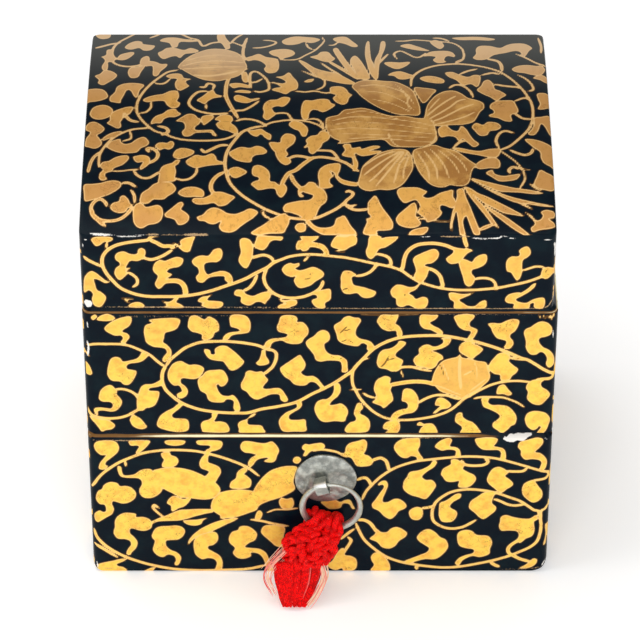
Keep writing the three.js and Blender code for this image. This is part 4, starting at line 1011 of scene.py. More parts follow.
ROOF_LEAVES = [
    (86, 126, 90, 122.5, 95, 122, 101, 125, 104.5, 129, 101, 133, 97, 135, 99, 138, 102, 143,
     99, 147, 94, 148.5, 88, 147, 85, 146, 86, 139, 89, 135, 90, 132, 86, 130),
    (107, 123, 111, 121, 117, 119, 120, 122, 121, 126, 118, 128.5, 112, 126),
    (102, 139, 108, 134.5, 115, 132, 122, 131.5, 117, 136, 108, 139, 104, 140.5),
    (107, 147, 110, 142, 115, 140, 120, 139, 121, 142, 125, 144, 131, 143, 137, 139, 143, 137,
     147, 139, 149, 143, 146, 146, 141, 148, 137, 152, 130, 153, 122, 153, 114, 151),
    (100, 166, 103, 162, 109, 161, 114, 158, 120, 156, 127, 155.5, 129, 158, 126, 162, 122, 165,
     118, 166.5, 114, 168, 112, 171, 106, 173, 105, 176, 107, 179, 102, 180.5, 99, 178, 100, 173,
     103, 170),
    (133, 157, 136, 156, 143, 155, 149, 157, 150, 161, 149, 164, 144, 168, 141, 169.5, 140, 167,
     143, 162, 138, 162.5, 135, 161),
    (155, 146, 158, 143, 163, 142.5, 167, 143, 171, 141, 174, 143, 173, 147, 169, 149.5,
     164, 148.5, 160, 150, 157, 148),
    (158, 183, 159, 176, 160, 170, 163, 166, 168, 164, 172, 163, 176, 160, 180, 160, 178, 164,
     175, 166, 176, 171, 175, 177, 175, 181, 167, 182, 160, 183),
    (140, 198, 142, 193, 148, 189, 154, 184, 161, 182, 168, 182, 173, 184, 176, 189, 173, 193,
     168, 196, 164, 199, 158, 199.5, 153, 199.5, 149, 203, 144, 203.5, 140, 202),
    (173, 155, 176, 150, 182, 148, 189, 149, 194, 151, 193, 154, 188, 156.5, 181, 158.5, 175, 158),
    (186, 161, 190, 158, 196, 155, 204, 156, 212, 153.5, 216, 157, 217, 160, 224, 162.5, 224, 164,
     214, 165, 206, 166, 196, 168, 190, 166, 187, 164),
    (228, 171, 231, 168, 237, 167, 243, 169, 247, 172, 243, 175, 236, 178, 231, 176),
    (192, 200, 195, 198, 203, 198, 210, 195, 215, 192, 222, 192, 228, 194, 235, 197, 231, 201,
     226, 205, 219, 206, 214, 203, 207, 204, 199, 204.5, 194, 203),
    (178, 193, 182, 189, 188, 187, 195, 187, 201, 189, 204, 192, 203, 197, 196, 196.5, 188, 197,
     182, 196),
    (197, 217, 203, 214.5, 208, 209.5, 214, 207.5, 221, 209.5, 227, 213, 235, 214, 243, 211.5,
     250, 208.5, 258, 212, 253, 218, 246, 222.5, 240, 227, 235, 231, 229, 232.5, 222, 231,
     219, 226.5, 221, 221, 215, 224, 209, 223.5, 204, 221, 199, 220.5),
    (165, 214, 168, 211, 173, 207, 178, 203, 182, 202, 183.5, 205, 181, 209, 185, 212, 189, 216,
     188, 221, 183, 224.5, 178, 224.5, 175, 220, 170, 218, 166, 217),
    (133, 211, 135, 205, 141, 203, 146, 207, 152, 206, 158, 205, 162, 208, 163, 214, 161, 220,
     156, 223.5, 148, 225, 143, 228, 138, 227.5, 134, 223, 133, 217),
    (110, 207, 113, 203, 119, 201, 120, 197, 124, 195.5, 128, 199, 130, 203, 133, 206, 128, 208,
     125, 212, 119, 213, 113, 211),
    (84, 185, 92, 184, 101, 183, 108, 181, 115, 180.5, 120, 182, 121, 186, 117, 190, 110, 194,
     102, 197, 92, 200, 85, 201, 84, 194),
    (176, 121, 182, 117, 188, 114, 194, 114.5, 198, 118, 201, 120, 199, 124, 195, 127, 196, 130,
     205, 130, 212, 130, 215, 133, 217, 136, 213, 135.5, 210, 132.5, 200, 132.5, 195, 133,
     190, 136, 184, 136, 182, 132, 185, 128, 184, 123, 180, 121.5),
    (216, 124, 220, 121, 215, 119.5, 219, 116, 225, 114.5, 231, 116, 233, 120, 231, 123, 235, 126,
     238, 131, 236, 134, 228, 131, 220, 129),
    (229, 153, 234, 149.5, 241, 147, 250, 148, 256, 146, 262, 147, 267, 151, 264, 154, 256, 155,
     252, 158, 251, 162, 244, 162, 236, 160, 231, 156.5),
    (248, 131, 254, 130, 261, 129, 266, 132, 271, 135, 270, 140, 265, 137.5, 261, 134, 257, 136.5,
     252, 135),
    (269, 143, 273, 142, 280, 142.5, 281, 138, 285, 134, 291, 134, 295.5, 137, 294, 143, 289, 147,
     286, 150, 288, 154, 286, 157, 289, 158, 291, 162, 286, 165, 280, 162, 276, 156, 275, 152,
     272, 149),
    (289, 125, 292, 121, 300, 122, 306, 126, 308, 130, 306, 136, 302, 136, 299, 131, 294, 129),
    (306, 140, 311, 136, 317, 135, 321, 131, 327, 132, 330, 136, 328, 140, 323, 143, 321, 147,
     318, 150, 313, 154, 309, 152, 308, 147, 305, 148, 304, 147, 307, 144),
    (252, 173, 253, 167, 258, 165, 264, 167, 268.5, 171, 270, 176, 270, 181, 275, 182, 279, 185,
     284, 184, 287, 188, 285, 194, 281, 197.5, 277, 194, 275, 189, 268, 188.5, 259, 190, 254, 187,
     251, 184, 255, 181, 259, 180, 258, 177, 254, 176),
    (283, 208, 286, 204, 293, 202, 302, 200.5, 309, 200, 313, 197, 312, 194, 305, 191, 301, 193,
     304, 196.5, 300, 197, 298, 193, 299, 188, 305, 185.5, 309, 182, 315, 183, 318, 187, 324, 190,
     327, 196, 326, 202, 321, 206, 318, 211, 316, 216, 311, 219, 303, 219, 300, 216, 290, 212.5,
     285, 212),
    (318, 175, 320, 169, 326, 165, 333, 163.5, 340, 164, 340, 170, 338, 175, 342, 179, 350, 181.5,
     358, 183, 357, 186, 349, 185.5, 341, 183, 336, 178, 334, 173, 330, 171, 333, 176, 330, 179,
     330, 183, 333, 186, 329, 188, 320, 188, 319, 182),
    (342, 155, 345, 150, 343, 145, 350, 144, 352, 148, 360, 147, 362, 149, 372, 146, 379, 146,
     379, 148, 370, 150.5, 382, 151, 375, 154, 362, 156, 355, 153, 356, 158, 358, 163, 357, 169,
     353, 171, 353, 165, 352, 158, 348, 157),
    (368, 209, 368, 203, 371, 199, 375, 195.5, 378, 199, 381, 205, 385, 211, 389, 216, 393, 223,
     392, 229, 385, 230.5, 377, 231, 377, 235, 364, 234, 364, 229, 367, 222, 366, 219, 371, 217,
     368, 213),
    (251, 233, 256, 229, 263, 225, 270, 220, 277, 216, 284, 213.5, 289, 217, 289, 223, 286, 229,
     283, 233, 270, 233.5, 258, 235),
    (304, 219, 309, 220, 314, 225, 320, 227.5, 328, 227.5, 334, 225, 336, 219, 340, 217,
     344, 215.5, 347, 219, 351, 226, 356, 232, 357, 238, 350, 238, 340, 234.5, 326, 235, 317, 232,
     309, 226),
    (295, 228, 297, 224, 303, 223, 306, 226, 305, 231, 299, 232),
    (397, 192, 400, 188, 407, 187.5, 417, 187.5, 424, 190, 427, 192, 423, 196, 427, 198, 433, 197,
     440, 193, 447, 191, 453, 190, 453, 196, 455, 200, 457, 204, 452, 208, 446, 206, 441, 205,
     440, 209, 442, 213, 438, 218, 432, 221, 427, 222, 425, 218, 418, 213, 420, 206, 416, 200,
     411, 201, 405, 203, 400, 199),
    (396, 219, 399, 214, 405, 209, 411, 204, 415, 203, 417, 209, 416, 216, 421, 223, 417, 227,
     411, 228, 404, 227, 398, 224),
    (408, 236, 411, 231, 417, 228.5, 427, 227, 428, 230, 424, 234, 415, 236.5),
    (478, 230, 484, 226, 494, 223, 494, 225, 486, 229, 479, 231),
    (525, 212, 531, 215, 536, 220, 540, 220, 543, 216, 541, 212, 546, 210, 552, 211, 555, 213,
     554, 218, 549, 219, 554, 223, 555, 227, 548, 229, 540, 230, 533, 232, 531, 228, 535, 224,
     532, 219),
    (525, 140, 530, 139, 540, 141, 549, 145, 555, 150, 556, 160, 557, 171, 551, 167, 544, 163,
     541, 158, 540, 152, 533, 147),
    (537, 176, 540, 170, 547, 173, 553, 176, 557, 180, 556, 187, 552, 191, 545, 190, 538, 188,
     534, 184),
    (475, 166, 480, 161, 488, 158, 496, 158, 500, 162, 499, 168, 490, 168, 480, 169),
    (452, 148, 460, 148, 470, 150, 480, 151, 490, 149, 500, 149, 500, 153, 497, 157, 488, 157,
     478, 155, 466, 153, 458, 151),
    (486, 173, 492, 170, 495, 174, 503, 176, 512, 175, 520, 174, 517, 179, 508, 181, 499, 181,
     492, 177),
    (472, 127, 476, 123, 483, 125, 488, 122, 497, 123, 501, 127, 497, 130, 490, 131, 487, 135,
     480, 135.5, 475, 131),
    (438, 131, 440, 127, 446, 125.5, 452, 130, 458, 131, 461, 126, 466, 129, 470, 135, 474, 140,
     479, 144, 474, 147, 468, 143, 463, 139, 459, 141, 455, 137, 448, 136, 441, 137),
    (490, 108, 491, 104, 497, 101, 505, 100.5, 513, 101, 517, 107, 518, 112, 511, 115, 512, 121,
     505, 121, 498, 118, 491, 117, 489, 115, 494, 113, 493, 110),
    (477, 90, 481, 86, 484, 81, 489, 80, 493, 84, 495, 89, 500, 91, 506, 95, 501, 98, 497, 101,
     490, 97, 483, 94),
    (445, 73, 452, 72, 460, 75, 468, 77, 474, 75, 480, 76, 480, 82, 477, 87, 471, 84, 463, 85,
     456, 80, 449, 77),
    (420, 78, 428, 76, 437, 77, 444, 80, 443, 83, 434, 83, 424, 81),
    (476, 49, 480, 46, 490, 46, 500, 48, 507, 45, 515, 43.5, 525, 44, 532, 48, 529, 51, 524, 57,
     520, 52, 514, 51, 505, 53, 494, 55, 487, 59, 479, 60, 473, 58, 476, 54),
    (512, 69, 518, 66, 527, 65, 536, 66, 542, 66, 545, 70, 541, 75, 533, 75, 524, 73, 516, 72),
    (533, 78, 540, 75, 546, 77, 550, 82, 546, 83, 540, 80),
    (537, 94, 543, 93, 549, 95, 552, 99, 552, 106, 545, 109, 538, 109, 540, 104, 538, 99),
    (534, 118, 541, 117, 549, 116, 552, 120, 553, 130, 554, 138, 549, 134, 545, 127, 541, 124,
     538, 131, 534, 135, 528, 134, 532, 129, 534, 124),
    (330, 88, 334, 86.5, 341, 86.5, 346, 89, 349, 93, 352, 95, 349, 98, 347, 103, 342, 104.5,
     336, 102, 333, 98, 336, 95, 331, 93),
    (302, 105, 305, 100.5, 312, 100.5, 320, 99, 328, 99.5, 331, 103, 335, 105, 330, 109, 323, 112,
     317, 110, 312, 110, 309, 114, 308, 119, 303, 119, 301, 113),
    (263, 108, 265, 103, 270, 100, 277, 99.5, 283, 97, 290, 98, 288, 103, 283, 106.5, 277, 106,
     272, 108, 274, 112, 276, 114, 271, 118, 267, 120, 263, 117, 264, 112),
    (276, 77, 283, 76, 289, 72.5, 293, 77, 296, 80, 298, 84, 297, 89, 291, 91, 286, 94, 279, 92,
     272, 90, 275, 88, 281, 87, 276, 84, 271, 83, 273, 82, 282, 83.5, 286, 82, 282, 79),
    (246, 58, 252, 56, 259, 54, 266, 57, 273, 58, 278, 60, 279, 67, 276, 72, 268, 73, 264, 69,
     266, 66, 262, 62, 255, 60, 248, 61),
    (269, 52, 274, 50, 283, 49, 291, 50, 295, 53, 292, 56, 285, 58, 281, 60, 278, 57, 272, 55),
    (310, 57, 317, 55, 321, 52, 328, 52, 332, 56, 335, 59, 329, 62, 322, 61, 316, 59),
    (282, 41, 288, 38, 296, 36.5, 306, 37, 316, 38, 320, 40, 312, 43, 304, 42, 298, 44, 290, 45,
     284, 44),
    (333, 39, 338, 37, 346, 37, 352, 41, 358, 46, 353, 47, 345, 44, 337, 42),
    (304, 82, 308, 79.5, 314, 79, 311, 82),
    (384, 63, 390, 62, 400, 62.5, 410, 62, 406, 66, 398, 69, 390, 67),
    (388, 75, 394, 72, 401, 71.5, 409, 74, 414, 76, 407, 79, 399, 79, 394, 76),
    (400, 46, 408, 44, 416, 46, 425, 49, 430, 51, 420, 50.5, 410, 49),
    (430, 42, 435, 40, 441, 42, 444, 46, 440, 49, 434, 46),
    (424, 56, 430, 52, 438, 51, 447, 51, 453, 53, 455, 57, 447, 56, 444, 60, 446, 62, 438, 63,
     433, 60, 436, 57, 430, 56),
    (455, 62, 459, 60, 465, 58, 462, 61, 457, 63),
    (452, 38, 465, 37, 480, 37, 495, 39, 490, 40.5, 475, 40, 460, 40),
    (96, 34, 100, 32, 107, 32, 111, 34, 109, 38, 102, 39, 97, 37),
    (140, 62, 142, 58, 147, 56, 149.5, 58, 149, 63, 145, 66, 141, 65.5),
    (107, 50, 112, 50, 114, 55, 116, 59, 112, 62, 108, 62, 108, 66, 107, 70, 103, 70, 102, 66,
     105, 61, 103, 58, 101, 57, 106, 55),
    (117, 59, 120, 55, 126, 53, 133, 52, 134, 54, 129, 58, 124, 60, 119, 60),
    (125, 47, 130, 43, 137, 41, 142, 42, 143, 44, 150, 45, 155, 46, 151, 50, 144, 50.5, 139, 48,
     132, 49.5, 127, 49),
    (160, 41, 165, 38, 175, 37.5, 184, 39, 193, 40, 199, 41, 190, 42, 180, 42, 177, 47, 172, 47,
     169, 43),
    (158, 53, 162, 51, 167, 48, 175, 48, 184, 50, 191, 48, 199, 51, 193, 53, 185, 54, 180, 58,
     176, 56, 170, 57, 164, 59, 160, 57),
    (143, 62, 150, 61, 156, 62, 161, 64, 167, 64, 166, 67, 161, 71, 157, 76, 153, 75, 153, 70,
     152, 66, 146, 66),
    (128, 72, 130, 68, 136, 67, 143, 66, 146, 65, 141, 72, 138, 77, 132, 78, 129, 76),
    (95, 76, 100, 74, 104, 70.5, 111, 71, 117, 75, 114, 79, 109, 82, 103, 85, 98, 83, 99, 80),
    (84, 91, 92, 89, 100, 89, 105, 91, 108, 96, 105, 99, 98, 101, 90, 102, 84, 103),
    (90, 115, 92, 109, 97, 106, 104, 105, 110, 107, 113, 111, 110, 116, 103, 119, 95, 119),
    (110, 97, 115, 92, 117, 87, 123, 84, 132, 83, 142, 84, 144, 86, 140, 90, 138, 95, 137, 98,
     134, 96, 131, 91, 127, 90, 124, 95, 121, 100, 120, 103, 113, 102, 110, 101),
    (110, 116, 113, 112, 120, 109, 127, 107, 133, 107, 132, 111, 128, 115, 124, 113, 123, 118,
     120, 123, 121, 127, 117, 128, 113, 126, 108, 123, 110, 120),
    (143, 100, 148, 97, 156, 95, 163, 94, 170, 91, 177, 91, 179, 96, 177, 101, 180, 103, 178, 107,
     172, 108, 167, 105, 164, 101, 155, 101, 147, 102),
    (166, 76, 171, 74, 178, 73.5, 182, 75, 184, 78, 191, 79, 186, 81, 187, 84, 189, 86, 184, 89,
     180, 90.5, 176, 88, 175, 83, 177, 79, 170, 78),
    (151, 124, 152, 120, 156, 116, 163, 113.5, 168, 110, 175, 109, 178, 112, 181, 114, 175, 117,
     169, 117, 164, 119, 161, 123, 156, 123),
    (197, 100, 203, 96, 208, 92, 213, 90, 216, 94, 222, 96, 222, 97, 214, 98, 208, 101, 205, 104,
     200, 102),
    (201, 119, 203, 116, 210, 115, 214, 117, 210, 121, 204, 125, 202, 122),
    (230, 84, 237, 83, 244, 84, 250, 86, 250, 88, 240, 87, 233, 88),
    (234, 92, 240, 90, 250, 91, 250, 93, 240, 92.5),
    (234, 97, 238, 95, 248, 98, 252, 101, 246, 103, 236, 101),
    (242, 73, 246, 72, 248, 76, 248, 82, 244, 82, 242, 79),
    (217, 36, 219, 33, 224, 34, 226, 38, 229, 42, 230, 48, 226, 49, 222, 44, 218, 41),
]
ROOF_BLADES = [
    (333, 50, 337, 48, 341, 53, 346, 60, 352, 68, 358, 75, 368, 79, 360, 79, 352, 75, 345, 68,
     339, 60),
    (352, 57, 356, 56, 361, 61, 366, 69, 370, 78, 364, 79, 358, 76, 353, 68, 350, 62),
    (366, 44, 369, 41, 370, 50, 371, 58, 374, 66, 377, 73, 375, 79, 370, 73, 367, 64, 365, 54),
    (374, 70, 375, 60, 379, 52, 381, 42, 385, 42, 385, 48, 381, 58, 379, 68, 378, 78, 375, 79),
    (298, 60, 305, 62, 315, 68, 325, 71, 338, 74, 352, 81, 356, 84, 346, 84, 330, 81, 318, 77,
     306, 68),
    (471, 178, 480, 180, 492, 183, 505, 186, 515, 188, 530, 190, 543, 193, 534, 194, 520, 192.5,
     508, 192, 498, 191, 486, 186, 474, 181),
    (470, 179, 480, 184, 490, 189, 500, 193, 512, 197, 524, 200, 538, 203, 555, 206.5, 544, 206.5,
     528, 204, 514, 202, 500, 196, 488, 190),
    (463, 187, 470, 188, 478, 193, 488, 197, 500, 203, 512, 209, 524, 216, 515, 215, 504, 213,
     494, 208, 484, 203, 476, 197),
    (484, 204, 494, 210, 506, 217, 516, 224, 524, 230, 532, 237, 522, 234, 512, 228, 500, 219,
     490, 211),
    (465, 187, 470, 190, 476, 198, 483, 205, 489, 213, 494, 220, 499, 228, 492, 224, 484, 214,
     475, 203, 468, 194),
    (457, 190, 463, 189, 466, 197, 470, 206, 474, 216, 478, 226, 480, 234, 474, 234, 470, 225,
     466, 216, 463, 222, 465, 232, 466, 238, 461, 238, 459, 228, 458, 220, 456, 212, 453, 222,
     452, 231, 450, 226, 452, 214, 455, 204, 457, 196),
]
ROOF_PETALS = [
    (326, 119, 331, 116.5, 338, 115, 344, 110, 352, 109, 362, 108, 372, 110, 380, 113, 392, 116,
     404, 116, 416, 118, 428, 119, 434, 124, 436, 132, 437, 140, 430, 145, 418, 147, 404, 147,
     392, 146, 384, 140, 372, 140, 360, 141, 346, 143, 338, 143.5, 340, 141, 334, 138.5, 329, 134,
     326, 127),
    (358, 184, 360, 175, 363, 166, 372, 158, 380, 153, 390, 150, 400, 149, 408, 151, 412, 158,
     413, 168, 409, 176, 404, 183, 397, 188, 388, 190, 379, 189.5, 370, 191, 362, 189),
    (413, 156, 414, 150, 424, 147, 434, 145, 444, 148, 453, 150, 461, 154, 469, 160, 476, 165,
     473, 169, 471, 174, 470, 180, 466, 185, 458, 186, 450, 185, 445, 187, 438, 187, 430, 184,
     423, 177, 418, 170, 415, 163),
    (425, 115, 427, 106, 432, 99, 438, 94, 446, 91, 455, 91, 462, 94, 468, 98, 476, 100, 483, 103,
     484, 108, 480, 112, 477, 117, 473, 122, 463, 124.5, 450, 125, 438, 126, 430, 124, 424, 120),
    (352, 86, 360, 81, 372, 80, 384, 81, 396, 82, 406, 86, 413, 91, 417, 99, 420, 108, 419, 115,
     408, 115, 396, 114, 384, 110, 372, 104, 362, 97, 357, 92),
    (414, 88, 424, 88, 436, 90, 432, 95, 427, 101, 423, 103, 419, 98),
    (178, 67, 183, 61, 190, 56, 199, 52, 210, 49, 222, 49, 232, 51, 239, 54, 244, 60, 247, 67,
     243, 72, 238, 76, 228, 79, 217, 81, 205, 80, 196, 77, 188, 73, 183, 70),
]
ROOF_VEINS = [
    (0.7, 331, 121, 350, 117, 370, 117, 392, 119, 415, 122, 434, 126),
    (0.6, 332, 125, 352, 122, 376, 123, 400, 125, 434, 130),
    (0.7, 330, 130, 350, 128, 376, 129, 402, 131, 435, 134),
    (0.6, 334, 134, 356, 134, 380, 135, 404, 136, 435, 138),
    (0.7, 346, 139, 370, 137.5, 392, 139, 412, 141, 434, 142),
    (0.6, 345, 114, 362, 111, 380, 114, 400, 119),
    (0.8, 388, 132, 391, 140, 398, 146, 410, 148.5, 422, 147, 432, 143, 437, 134, 435, 125, 430, 119),
    (0.9, 361, 168, 368, 163, 378, 157, 388, 153, 396, 151),
    (0.9, 364, 175, 373, 168, 383, 161, 393, 155, 400, 151),
    (0.9, 369, 182, 378, 174, 388, 164, 396, 157, 402, 151),
    (0.9, 376, 186, 386, 174, 395, 163, 401, 156, 404, 151),
    (0.9, 394, 183, 397, 172, 400, 163, 405, 157, 408, 151),
    (0.8, 403, 179, 404, 170, 407, 161, 410, 154),
    (0.9, 417, 152, 423, 161, 428, 170, 429, 180),
    (0.9, 423, 150, 430, 158, 436, 168, 438, 180),
    (0.9, 430, 149, 438, 157, 445, 167, 449, 178),
    (0.8, 437, 149, 446, 156, 454, 164, 460, 174),
    (0.8, 446, 150, 455, 156, 463, 164, 467, 171),
    (0.9, 427, 116, 434, 110, 442, 104, 450, 99, 456, 96),
    (0.9, 429, 119, 440, 113, 450, 107, 458, 101, 466, 99),
    (0.9, 431, 122, 442, 118, 452, 113, 462, 108, 474, 104),
    (0.8, 434, 125, 450, 121, 464, 117, 475, 112),
    (0.7, 428, 111, 434, 104, 440, 98),
    (0.8, 360, 86, 376, 85, 392, 88, 406, 94, 414, 104),
    (0.7, 362, 92, 378, 92, 392, 96, 404, 102, 414, 110),
    (0.7, 372, 99, 386, 102, 398, 106, 410, 112),
    (0.7, 395, 84, 404, 92, 408, 102, 409, 112),
    (0.7, 186, 61, 200, 57, 218, 55, 238, 57),
    (0.9, 182, 66, 200, 62, 222, 61, 245, 63),
    (0.9, 183, 69, 200, 68, 222, 67, 245, 67),
    (1.4, 194, 75, 208, 76, 224, 74, 238, 71),
]
ROOF_LINES = [
    (0.6, 184, 67, 205, 65, 226, 64.5, 245, 65),
    (0.6, 190, 71, 208, 71, 226, 70, 240, 69),
    (0.6, 357, 90, 364, 98, 374, 104, 390, 112, 400, 116),
    (0.6, 418, 200, 421, 209, 428, 219),
    (0.5, 217, 121, 226, 121.5, 234, 121),
    (0.6, 474, 190, 486, 198, 500, 206, 512, 213),
    (0.6, 462, 208, 463, 220, 463, 234),
    (0.5, 370, 108, 388, 113, 404, 116),
    (0.5, 390, 149, 411, 148, 434, 144),
]

# %% [markdown]
# The distances are worked out only for the points that can show the scroll, and are kept with the
# mesh as a named number for each point. On the roof a line of sight meets the arch at a depth
# that depends only on the pixel's row, so the row is looked up in a short table worked out here.
# %% Painting the pieces
ROOF_SCALE = 0.80
SIDE_INSET = 2.0
FRONT_REACH = 0.6
ROOF_REACH = 0.35
AROUND = 2 * BOX_DEPTH + BOX_WIDTH
WAVE = 44.0
LEAF_GAP = 6.2
TWO_DEEP = 9.0
LEAST_ROOM = 4.0
VINE_HALF = 0.46
STALK_HALF = 0.38

# How much wider the veins and then the vines are drawn than they were read.
ROOF_WIDENING = (1.5, 1.1)
FRONT_WIDENING = (1.0, 0.88)


def keep(piece, name, values):
    """Stores one number for each point of a piece."""
    layer = piece.data.attributes.new(name, "FLOAT", "POINT")
    layer.data.foreach_set("value", np.asarray(values, np.float32))


def from_roof(points):
    """Photo pixels to x and y on the arch."""
    points = np.asarray(points, float)
    y = np.linspace(BOX_DEPTH / 2, -BOX_DEPTH / 2, 400)
    over = ARRIS_Z + roof_height(y) - AIM_Z
    depth = CAMERA_DISTANCE + (y - FRONT_Y) * COS_PITCH - over * SIN_PITCH
    up = (y - FRONT_Y) * SIN_PITCH + over * COS_PITCH
    rows = PHOTO_SIZE / 2 - FOCAL_PX * up / depth
    here_y = np.interp(points[:, 1], rows, y)
    here_depth = np.interp(points[:, 1], rows, depth)
    return np.column_stack([(points[:, 0] - PHOTO_SIZE / 2) * here_depth / FOCAL_PX, here_y])


def lobed_leaf(x, z, size, tilt, chance):
    """A rounded leaf, whose radius swells twice and dips thrice in one turn."""
    turn = np.linspace(0, 2 * math.pi, 14, endpoint=False)
    swell = 1 + 0.30 * np.cos(2 * turn + 0.6) + 0.16 * np.cos(3 * turn + chance.uniform(0, 3))
    long_way = size * swell * np.cos(turn)
    short_way = size * 0.75 * swell * np.sin(turn)
    return tuple(np.column_stack([
        x + long_way * math.cos(tilt) - short_way * math.sin(tilt),
        z + long_way * math.sin(tilt) + short_way * math.cos(tilt),
    ]).ravel())


def plain_scroll(low, high, seed):
    """Strokes and leaves for the sides and back: one wave of vine, with leaves on bowed stalks
    above and below it, two deep where the bend leaves room."""
    chance = np.random.default_rng(seed)
    middle = (low + high) / 2
    swing = (high - low) * 0.27

    def wave(along):
        return middle + swing * np.sin(along * 2 * math.pi / WAVE + seed)

    along = np.arange(-2.0, AROUND + 4.0, 2.0)
    strokes = [(VINE_HALF, *np.column_stack([along, wave(along)]).ravel())]
    leaves = []
    for start in np.arange(1.5, AROUND, LEAF_GAP):
        for row in (-1, 1):
            here = wave(start)
            room = (high - here if row > 0 else here - low) - 1.0
            shares = (0.40, 0.84) if room > TWO_DEEP else (0.56,)
            foot = start - LEAF_GAP * 0.45
            last_x, last_z = foot, wave(foot)
            for share in shares:
                if room < LEAST_ROOM:
                    continue
                size = min(2.2, room * 0.30) * chance.uniform(0.85, 1.15)
                x = start + chance.uniform(-0.5, 0.5) + (LEAF_GAP * 0.4 if share > 0.8 else 0.0)
                z = np.clip(here + row * share * room, low + size * 0.9, high - size * 0.9)
                leaves.append(lobed_leaf(x, z, size, row * chance.uniform(0.2, 1.2), chance))
                strokes.append((STALK_HALF, last_x, last_z, last_x + 0.4, (last_z + z) / 2, x, z))
                last_x, last_z = x, z
    return strokes, leaves


def as_given(points):
    """Millimetres stay as they are."""
    return np.asarray(points, float)


def paint_piece(piece, points, front, low, high, seed):
    """Paints one piece and keeps its gold, bud, vein and line distances.

    The front takes the scroll laid out in the photograph, and the sides and the back together
    take one long plainer scroll, measured round the walls from the right front corner.
    """
    names = ("gold", "bud", "vein", "line", "bare", "rub")
    kept = {name: np.full(len(points), FAR) for name in names}
    on_front = points[:, 1] < FRONT_Y + FRONT_REACH
    half = BOX_WIDTH / 2 - SIDE_INSET
    on_right = ~on_front & (points[:, 0] > half)
    on_left = ~on_front & (points[:, 0] < -half)
    on_back = points[:, 1] > -FRONT_Y - FRONT_REACH
    around = np.where(on_back, BOX_DEPTH + BOX_WIDTH / 2 - points[:, 0],
                      np.where(on_left, AROUND - (points[:, 1] - FRONT_Y), points[:, 1] - FRONT_Y))
    rest = (on_right | on_left | on_back) & (points[:, 2] > low) & (points[:, 2] < high)
    strokes, leaves = plain_scroll(low, high, seed)
    kept["gold"][rest] = paint(np.column_stack([around, points[:, 2]])[rest], strokes, leaves,
                               as_given, 1.0)
    brush(kept, on_front, points[on_front][:, [0, 2]], front, from_front, PIXEL_MM)
    return kept


def brush(kept, chosen, face, lists, place, scale):
    """Lays vines, leaves, buds, veins and lines on one face."""
    vines, leaves, buds, veins, lines = lists
    veins_wide, vines_wide = ROOF_WIDENING if place is from_roof else FRONT_WIDENING
    kept["bud"][chosen] = paint(face, (), buds, place, scale)
    kept["vein"][chosen] = paint(face, veins, (), place, scale * veins_wide)
    kept["line"][chosen] = paint(face, lines, (), place, scale)
    gold = paint(face, vines, leaves, place, scale * vines_wide)
    kept["gold"][chosen] = np.minimum(gold, kept["bud"][chosen])


def wear(kept, chosen, face, bare, chips, rubbed_and_highlit, place, scale):
    """Lays white bare wear and painted glints, and gold-brown rubbed lines and painted highlight lines, on
    one face.
    """
    kept["bare"][chosen] = paint(face, bare, chips, place, scale)
    kept["rub"][chosen] = paint(face, rubbed_and_highlit, (), place, scale)


def keep_all(piece, kept):
    for name, values in kept.items():
        keep(piece, name, values)
    print(piece.name, "points inside the gold:", int((kept["gold"] < 0).sum()))


# %% [markdown]
# Wear comes last: dark marks and cracks in the leaves, crumbs of gold, white chips and bare edges,
# and edges rubbed brown. Along the lid's arris and its lower and right edges, some of the white and
# brown lines are painted glints and highlights. Like the strokes, each starts with a half width in
# pixels.
# %% Marks and wear
WEAR_REACH = 0.7
WEAR_ROUND = 1.3
WEAR_BELOW = 1.5
PEN_MARKS = [
    (1.1, 310, 273, 310, 275), (1.0, 305, 279, 312, 278), (0.8, 405, 294, 405, 296),
    (0.8, 344, 271.5, 350, 273), (0.8, 342, 291, 346, 288.5, 349, 290),
    (0.7, 548, 268.5, 546, 272, 549, 275),
]
MIDDLE_MARKS = [
    (0.8, 339.5, 333.5, 344, 329.5, 347, 326.5), (0.8, 345, 331, 350.5, 329), (0.7, 341, 342, 347, 339.5),
    (0.7, 349, 340, 353, 343), (0.9, 380.5, 367.5, 385, 363, 389, 356), (0.8, 386, 360.5, 396, 358),
    (0.7, 331, 356, 335, 358), (0.7, 340, 359, 343, 357.5), (0.7, 438, 363, 442, 369, 444.5, 378),
    (0.5, 471, 370, 474, 372, 474, 376),
]
MIDDLE_CRUMBS = [
    (0.5, 361, 314.6, 375, 314.9, 390, 315, 418, 314.5), (0.8, 539, 315, 540.5, 318),
    (0.8, 543.5, 315.3, 545, 318.5), (0.8, 548, 315.6, 548.5, 318), (1.0, 551, 315, 551.5, 319.5),
    (0.8, 554, 313, 553.5, 317.5),
]
BOTTOM_CHIPS = [
    (502.5, 438.8, 505, 437, 507, 437.2, 510, 435.2, 514, 435.6, 518, 434.6, 524, 435, 529, 433.9,
     532.8, 435.3, 530, 437, 527, 438, 525, 440, 521, 441, 517, 440.4, 513, 442.2, 508, 441.6, 505, 440.2),
]
BOTTOM_BARE = [(0.7, 544, 438, 547, 439), (0.8, 97, 562, 98, 568), (0.7, 541, 566, 546, 560)]
BOTTOM_RUBS = [
    (0.7, 92, 440, 120, 440.5, 150, 440.3), (0.6, 400, 438, 440, 437.5, 470, 437),
    (0.8, 95, 566, 110, 568.5, 130, 569), (0.7, 500, 569, 530, 568.5, 543, 566),
]
MIDDLE_BARE = [(1.0, 87, 341, 88.5, 347, 87.5, 356), (0.7, 87, 322, 88, 328), (0.6, 553, 330, 553, 338)]
MIDDLE_RUBS = [
    (0.5, 425, 314.6, 480, 314.8, 535, 315), (0.6, 95, 316, 150, 316.4, 240, 316),
]
LID_CHIPS = [(84, 303, 86, 300, 90, 300.5, 92.5, 303, 91, 306.5, 87, 307)]
